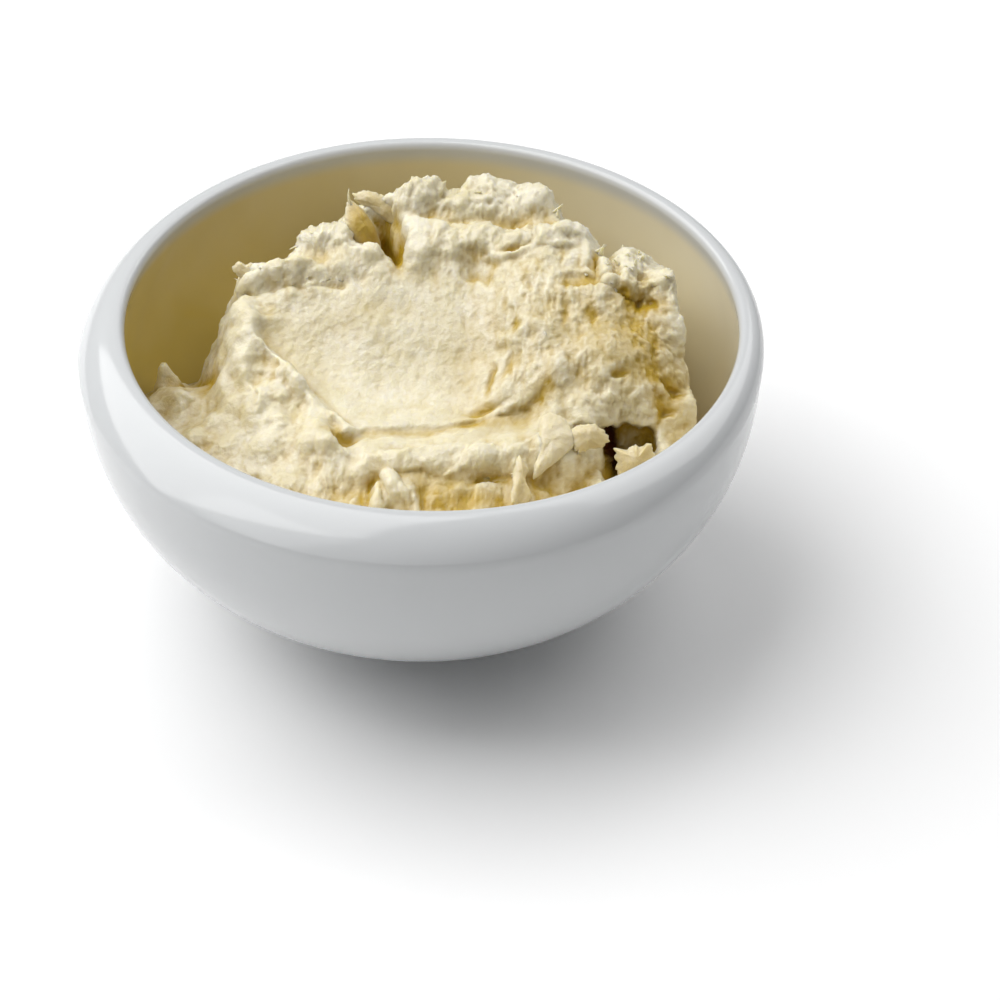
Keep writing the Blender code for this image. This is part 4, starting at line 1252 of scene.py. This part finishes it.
def with_wall(values, hidden_value):
    """The top's values, followed by one value for all the hidden points along the bowl's wall."""
    return np.concatenate([values.ravel(), np.full(hidden, hidden_value)])


heap_x, heap_y = heap_grid[..., 0], heap_grid[..., 1]
streaks = noise(heap_grid * np.array([1 / 1.7, 1 / 4.5, 1 / 4.5]), 31) + 0.1
streaks = 0.5 * uncalm(heap_x, heap_y) * np.clip(streaks, 0, None)
# Drag streaks, plus painted shade at the named places, in the pockets and by each hollow's depth
streaks_and_painted_shade = 1.2 * streaks + 0.9 * painted_shade_amount(heap_grid) + 1.3 * near_depth + 0.30 * far_depth
streaks_and_painted_shade = streaks_and_painted_shade + deep_share(heap_grid)
streaks_and_painted_shade = np.clip(streaks_and_painted_shade * (1.1 - 0.5 * torn_share(heap_x, heap_y)), 0, 1)
give_value(spread, "hollow", with_wall(streaks_and_painted_shade, 0.5))
give_value(spread, "deep", with_wall(deep_share(heap_grid), 0.0))
print("hollow value: %.2f on average" % streaks_and_painted_shade.mean())
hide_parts("spread")

# %% [markdown]
# ## Torn scraps
# Some pieces of the spread were pulled nearly off: a petal and a striped flap over the hollow at
# the back, a waxy flake and a chunk at the front right, and bits in front of the hole. A height
# can't fold over itself, so each is a small closed shell of its own. Its outline is a smooth
# closed curve through named places, and its two sides draw together to a thin torn edge.


# %% Scraps
# Each scrap: places on its outline, thickness, bow towards the viewer, seed, raggedness of its edge
SCRAPS = {
    "petal": (
        ((-14.5, 32.0, 58.2), (-13.2, 31.8, 58.4), (-11.6, 31.0, 57.4), (-10.2, 30.0, 56.0),
         (-9.0, 29.0, 54.2), (-8.2, 27.5, 51.6), (-9.4, 26.5, 50.6), (-11.8, 26.0, 52.0),
         (-13.6, 26.8, 54.4), (-14.8, 29.0, 56.6)),
        1.0, 1.6, 3, 0.05,
    ),
    "slab_over_the_hollow": (
        ((-13.4, 34.0, 58.3), (-11.5, 34.5, 59.2), (-9.0, 34.3, 58.7), (-6.8, 33.8, 58.0),
         (-4.9, 33.0, 57.2), (-3.2, 31.5, 55.4), (-3.7, 30.0, 53.8), (-5.5, 30.3, 54.0),
         (-7.8, 31.2, 55.3), (-10.4, 32.5, 56.6), (-12.6, 33.5, 57.2)),
        1.5, 0.5, 4, 0.10,
    ),
    "torn_end_of_the_slab": (
        ((-6.4, 33.0, 57.0), (-5.3, 33.0, 57.8), (-3.0, 31.5, 57.4), (-1.8, 30.0, 56.0),
         (-3.0, 28.5, 54.4), (-4.6, 28.0, 53.7), (-4.6, 29.0, 55.0), (-5.8, 31.0, 56.2)),
        1.2, 0.5, 10, 0.12,
    ),
    "waxy_flake": (
        ((21.3, -13.2, 44.4), (22.4, -12.2, 44.9), (24.0, -12.2, 44.9), (25.6, -13.2, 44.4),
         (26.8, -15.5, 43.6), (27.2, -17.5, 42.5), (26.0, -19.0, 41.9), (24.3, -20.5, 41.0),
         (22.4, -21.8, 40.0), (20.4, -23.0, 39.2), (20.3, -21.4, 40.1), (21.0, -19.5, 41.5),
         (21.1, -16.5, 43.3)),
        1.7, 0.5, 5, 0.03,
    ),
    "chunk_beside_the_flake": (
        ((26.6, -15.0, 43.5), (28.0, -14.4, 44.2), (29.8, -14.3, 44.5), (31.4, -14.5, 44.1),
         (32.8, -15.1, 43.0), (33.1, -16.0, 42.2), (32.2, -16.9, 41.4), (30.6, -17.1, 41.3),
         (28.8, -17.7, 40.8), (27.2, -17.5, 40.9), (26.3, -16.4, 42.0)),
        2.4, 0.9, 6, 0.12,
    ),
    "torn_bit_before_the_hole": (
        ((34.5, -16.8, 40.9), (35.9, -16.8, 41.1), (37.1, -16.8, 41.6), (37.8, -16.6, 42.3),
         (38.6, -16.9, 41.8), (39.4, -16.8, 42.0), (40.1, -16.6, 42.5), (41.0, -17.0, 41.4),
         (42.0, -18.0, 39.0), (41.6, -19.2, 36.8), (38.6, -20.3, 36.4), (35.8, -19.8, 36.8),
         (34.6, -18.2, 39.0)),
        2.2, 1.1, 7, 0.14,
    ),
    "shred_left_of_the_flake": (
        ((17.7, -21.0, 42.4), (18.6, -21.2, 41.3), (19.3, -22.2, 40.2), (18.8, -24.2, 39.4),
         (19.9, -27.0, 37.6), (18.2, -28.2, 37.0), (16.6, -28.0, 38.3), (16.7, -25.2, 40.0),
         (17.0, -22.6, 41.4)),
        1.6, 0.4, 8, 0.08,
    ),
    "flap_on_the_ear": (
        ((-34.6, 21.0, 50.6), (-33.8, 21.6, 51.9), (-32.4, 21.4, 51.4), (-31.2, 21.6, 51.8),
         (-30.0, 20.8, 51.0), (-30.6, 19.8, 49.8), (-33.0, 19.8, 49.4)),
        1.4, 0.3, 9, 0.12,
    ),
}

# How much shade is painted on a scrap inside its paler, lit torn edge
SCRAP_PAINTED_SHADE = {"petal": 0.85, "waxy_flake": 0.10, "slab_over_the_hollow": 0.35}


def through(places, count):
    """A closed smooth curve through places: Catmull-Rom, each stretch a cubic of four neighbours."""
    places = np.asarray(places, float)
    t = np.arange(count) * len(places) / count
    k = t.astype(int)
    f = (t - k)[:, None]
    a, b, c, d = (places[(k + step) % len(places)] for step in (-1, 0, 1, 2))
    square = (2 * a - 5 * b + 4 * c - d) * f**2
    cube = (3 * b - a - 3 * c + d) * f**3
    return 0.5 * (2 * b + (c - a) * f + square + cube)


def scrap_shape(outline, thickness, bow, seed, torn):
    """A closed shell: middle + s (outline - middle), out by bow (1 - s^2) +- half (1 - s^4)^0.5."""
    curve = through(outline, 120)
    middle = curve.mean(0)
    normal = np.linalg.svd(curve - middle)[2][2]
    normal = normal * np.sign(normal @ (0, -1, 0.8))
    ragged = torn * (noise(curve / 1.3, seed) + noise(curve / 0.6, seed + 60))
    s = np.sin(np.linspace(0.12, np.pi / 2, 12))[:, None, None]
    flat = middle + (curve - middle) * (s + ragged[:, None] * s**10)
    bowed = bow * (1 - s**2)
    half = thickness / 2 * np.sqrt(np.clip(1 - s**4, 0, None))
    front = flat + normal * (bowed + half)
    back = flat + normal * (bowed - half)
    rings = np.concatenate([front, back[-2::-1]])
    rough = 0.30 * noise(rings / 2.2, seed) + 0.10 * noise(rings / 0.8, seed + 30)
    rings = rings + rough[..., None] * normal
    inner = np.repeat(np.concatenate([s, s[-2::-1]]).ravel(), len(curve))
    points, faces = closed_rings(rings, rings[0].mean(0), rings[-1].mean(0))
    around = np.cross(curve, np.roll(curve, -1, 0)).sum(0) @ normal
    faces = faces if around < 0 else [face[::-1] for face in faces]
    return points, faces, 1 - np.concatenate([inner, s[0].ravel(), s[0].ravel()]) ** 6


print("scraps:", len(SCRAPS))
for name, sizes in SCRAPS.items():
    scrap_points, scrap_faces, inner = scrap_shape(*sizes)
    scrap = make_piece(name, scrap_points, scrap_faces, spread_finish, "spread")
    give_value(scrap, "hollow", 0.08 + SCRAP_PAINTED_SHADE.get(name, 0.25) * inner)
    give_value(scrap, "deep", np.zeros(len(scrap_points)))

# %% [markdown]
# Where the spread was pulled apart it drew out into short shreds that stand off its crests, well
# under a millimetre thick. There are many, so each has only a few dozen faces: seven flat rings of
# seven points along a bent path, tapering to a tip. Most stand in named groups, one is a long
# curl on the petal, and a few small ones are strewn over the torn crests.


# %% Shreds
SHRED_RINGS = 7
SHRED_SIDES = 7
SHREDS_STREWN = 16
SHRED_HOLLOW = 0.1

# Groups of shreds: middle, reach, number, way that they point, length
SHRED_GROUPS = {
    "middle ridge's right end": ((30.9, 19.5, 58.0), 0.8, 2, (0.3, 0.0, 1.0), 1.6),
    "top right, behind": ((37.5, 18.5, 58.5), 3.5, 14, (-0.1, 0.2, 1.2), 0.7),
    "top right, edge": ((39.0, 10.8, 56.5), 3.5, 8, (0.0, -0.6, -0.2), 0.5),
    "back crest's right end": ((25.5, 31.0, 58.5), 1.6, 3, (0.7, 0.1, 0.7), 0.8),
    "peak's corner": ((-22.5, 26.5, 55.0), 1.6, 2, (-0.8, 0.0, 0.6), 0.6),
    "ear": ((-34.0, 21.5, 50.0), 1.8, 3, (-0.5, 0.2, 0.8), 0.5),
    "over the hole": ((35.0, -11.5, 42.0), 4.0, 4, (0.0, -0.5, -0.9), 0.6),
    "front": ((16.5, -23.5, 39.5), 2.5, 4, (0.1, -0.4, 0.8), 1.0),
}

# The curl: root, way, bend, length, thickness
CURL = ((-13.3, 31.6, 57.0), (-0.55, 0.05, 0.83), (1.7, 0.2, 0.6), 4.6, 0.95)


def shred_shapes(place, way, bend, length, thick):
    """Tapered bent shreds: place + t length way + t^2 bend, ring radius thick (1 - t)^0.8, flattened."""
    count = len(place)
    t = np.linspace(0, 1, SHRED_RINGS + 1)[None, :-1, None]
    path = place[:, None] + t * length[:, None, None] * way[:, None] + t**2 * bend[:, None]
    side = np.cross(way, (0.3, 0.5, 0.8))
    side /= np.linalg.norm(side, axis=1)[:, None]
    other = np.cross(way, side)
    a = np.linspace(0, 2 * np.pi, SHRED_SIDES, endpoint=False)
    level = np.cos(a)[None, :, None] * side[:, None]
    round_it = level + 0.45 * np.sin(a)[None, :, None] * other[:, None]
    radius = thick[:, None, None] * (1 - t) ** 0.8
    rings = path[:, :, None] + radius[..., None] * round_it[:, None]
    ends = np.stack([path[:, 0], place + length[:, None] * way + bend], 1)
    one, faces = closed_rings(rings[0], ends[0, 0], ends[0, 1])
    points = np.concatenate([rings.reshape(count, -1, 3), ends], 1).reshape(-1, 3)
    return points, [[i + k * len(one) for i in face] for k in range(count) for face in faces]


def drawn_shreds(grid, weight, count, way, length, draw):
    """Shreds rooted 0.5 mm under points drawn from the grid by weight, pointing roughly one way."""
    pick = draw.choice(weight.size, size=count, replace=False, p=weight.ravel() / weight.sum())
    out = surface_normals(blurred(grid, 3)).reshape(-1, 3)[pick]
    place = grid.reshape(-1, 3)[pick] - 0.5 * out
    way = 0.7 * np.asarray(way) + 0.5 * out + 0.35 * draw.normal(size=(count, 3))
    way /= np.linalg.norm(way, axis=1)[:, None]
    length = length * (0.6 + 0.8 * draw.random(count)) + 0.5
    bend = 0.35 * length[:, None] * draw.normal(size=(count, 3))
    return place, way, bend, length, 0.45 + 0.40 * draw.random(count)


draw = np.random.default_rng(77)
strewn = np.clip(torn_share(heap_x, heap_y) - 0.25, 0, None) * np.clip(-near_depth, 0, 0.5)
groups = [drawn_shreds(heap_grid, strewn, SHREDS_STREWN, (0, 0, 0), 0.5, draw)]
for middle, reach, count, way, length in SHRED_GROUPS.values():
    near_it = np.exp(-(((heap_grid - middle) / reach) ** 2).sum(-1))
    groups.append(drawn_shreds(heap_grid, near_it, count, way, length, draw))

shred_paths = {
    "torn_shreds": [np.concatenate(part) for part in zip(*groups)],
    "curl_on_the_petal": [np.array([part]) for part in CURL],
}
for name, paths in shred_paths.items():
    shred_points, shred_faces = shred_shapes(*paths)
    shreds = make_piece(name, shred_points, shred_faces, spread_finish, "spread")
    give_value(shreds, "hollow", np.full(len(shred_points), SHRED_HOLLOW))
    give_value(shreds, "deep", np.zeros(len(shred_points)))

# %% [markdown]
# ## Table and light
# The table is a plain pale sheet far larger than the picture. One large soft light, like a
# window, stands high at the left and a little behind, so the shadow falls to the right. Two
# weaker ones stand for pale walls, behind at the right and in front at the left, and a weak
# even light comes from all round.

# %% Table
TABLE_HALF = 4.0
table_mesh = bpy.data.meshes.new("table")
corners = [(-1, -1), (1, -1), (1, 1), (-1, 1)]
corners = [(TABLE_HALF * x, TABLE_HALF * y, 0) for x, y in corners]
table_mesh.from_pydata(corners, [], [(0, 1, 2, 3)])
table = bpy.data.objects.new("table", table_mesh)
bpy.context.scene.collection.objects.link(table)
table_finish, tree, shader = new_material(
    "white_table", {"Base Color": linear("fbfbfb"), "Roughness": 0.9}
)
table_mesh.materials.append(table_finish)
print("table: %.0f m wide" % (2 * TABLE_HALF))


# %% Lights
AIM = Vector((0, 0, 0.04))
DISTANCE = 1.2

# Each light: way from +X towards +Y and angle above the table in degrees, width, height, watts
SOFT_LIGHTS = {
    "window": (160, 54, 1.3, 1.5, 19.0),
    "wall_right": (40, 50, 1.2, 0.8, 5.4),
    "wall_left": (210, 48, 0.7, 0.7, 2.0),
}
EVEN_LIGHT = 0.17


def soft_light(name, around, above, width, height, power):
    """A rectangular area light at the usual distance, aimed at the bowl."""
    data = bpy.data.lights.new(name, "AREA")
    data.shape = "RECTANGLE"
    data.size = width
    data.size_y = height
    data.energy = power
    light = bpy.data.objects.new(name, data)
    bpy.context.scene.collection.objects.link(light)
    a = math.radians(around)
    e = math.radians(above)
    way = Vector((math.cos(a) * math.cos(e), math.sin(a) * math.cos(e), math.sin(e)))
    turn = way.to_track_quat("Z", "Y").to_matrix().to_4x4()
    light.matrix_world = Matrix.Translation(way * DISTANCE + AIM) @ turn


for name, sizes in SOFT_LIGHTS.items():
    soft_light(name, *sizes)
print("lights:", sorted(SOFT_LIGHTS))

world = bpy.data.worlds.new("studio")
bpy.context.scene.world = world
world.use_nodes = True
background = world.node_tree.nodes["Background"]
background.inputs["Color"].default_value = (1, 1, 1, 1)
background.inputs["Strength"].default_value = EVEN_LIGHT
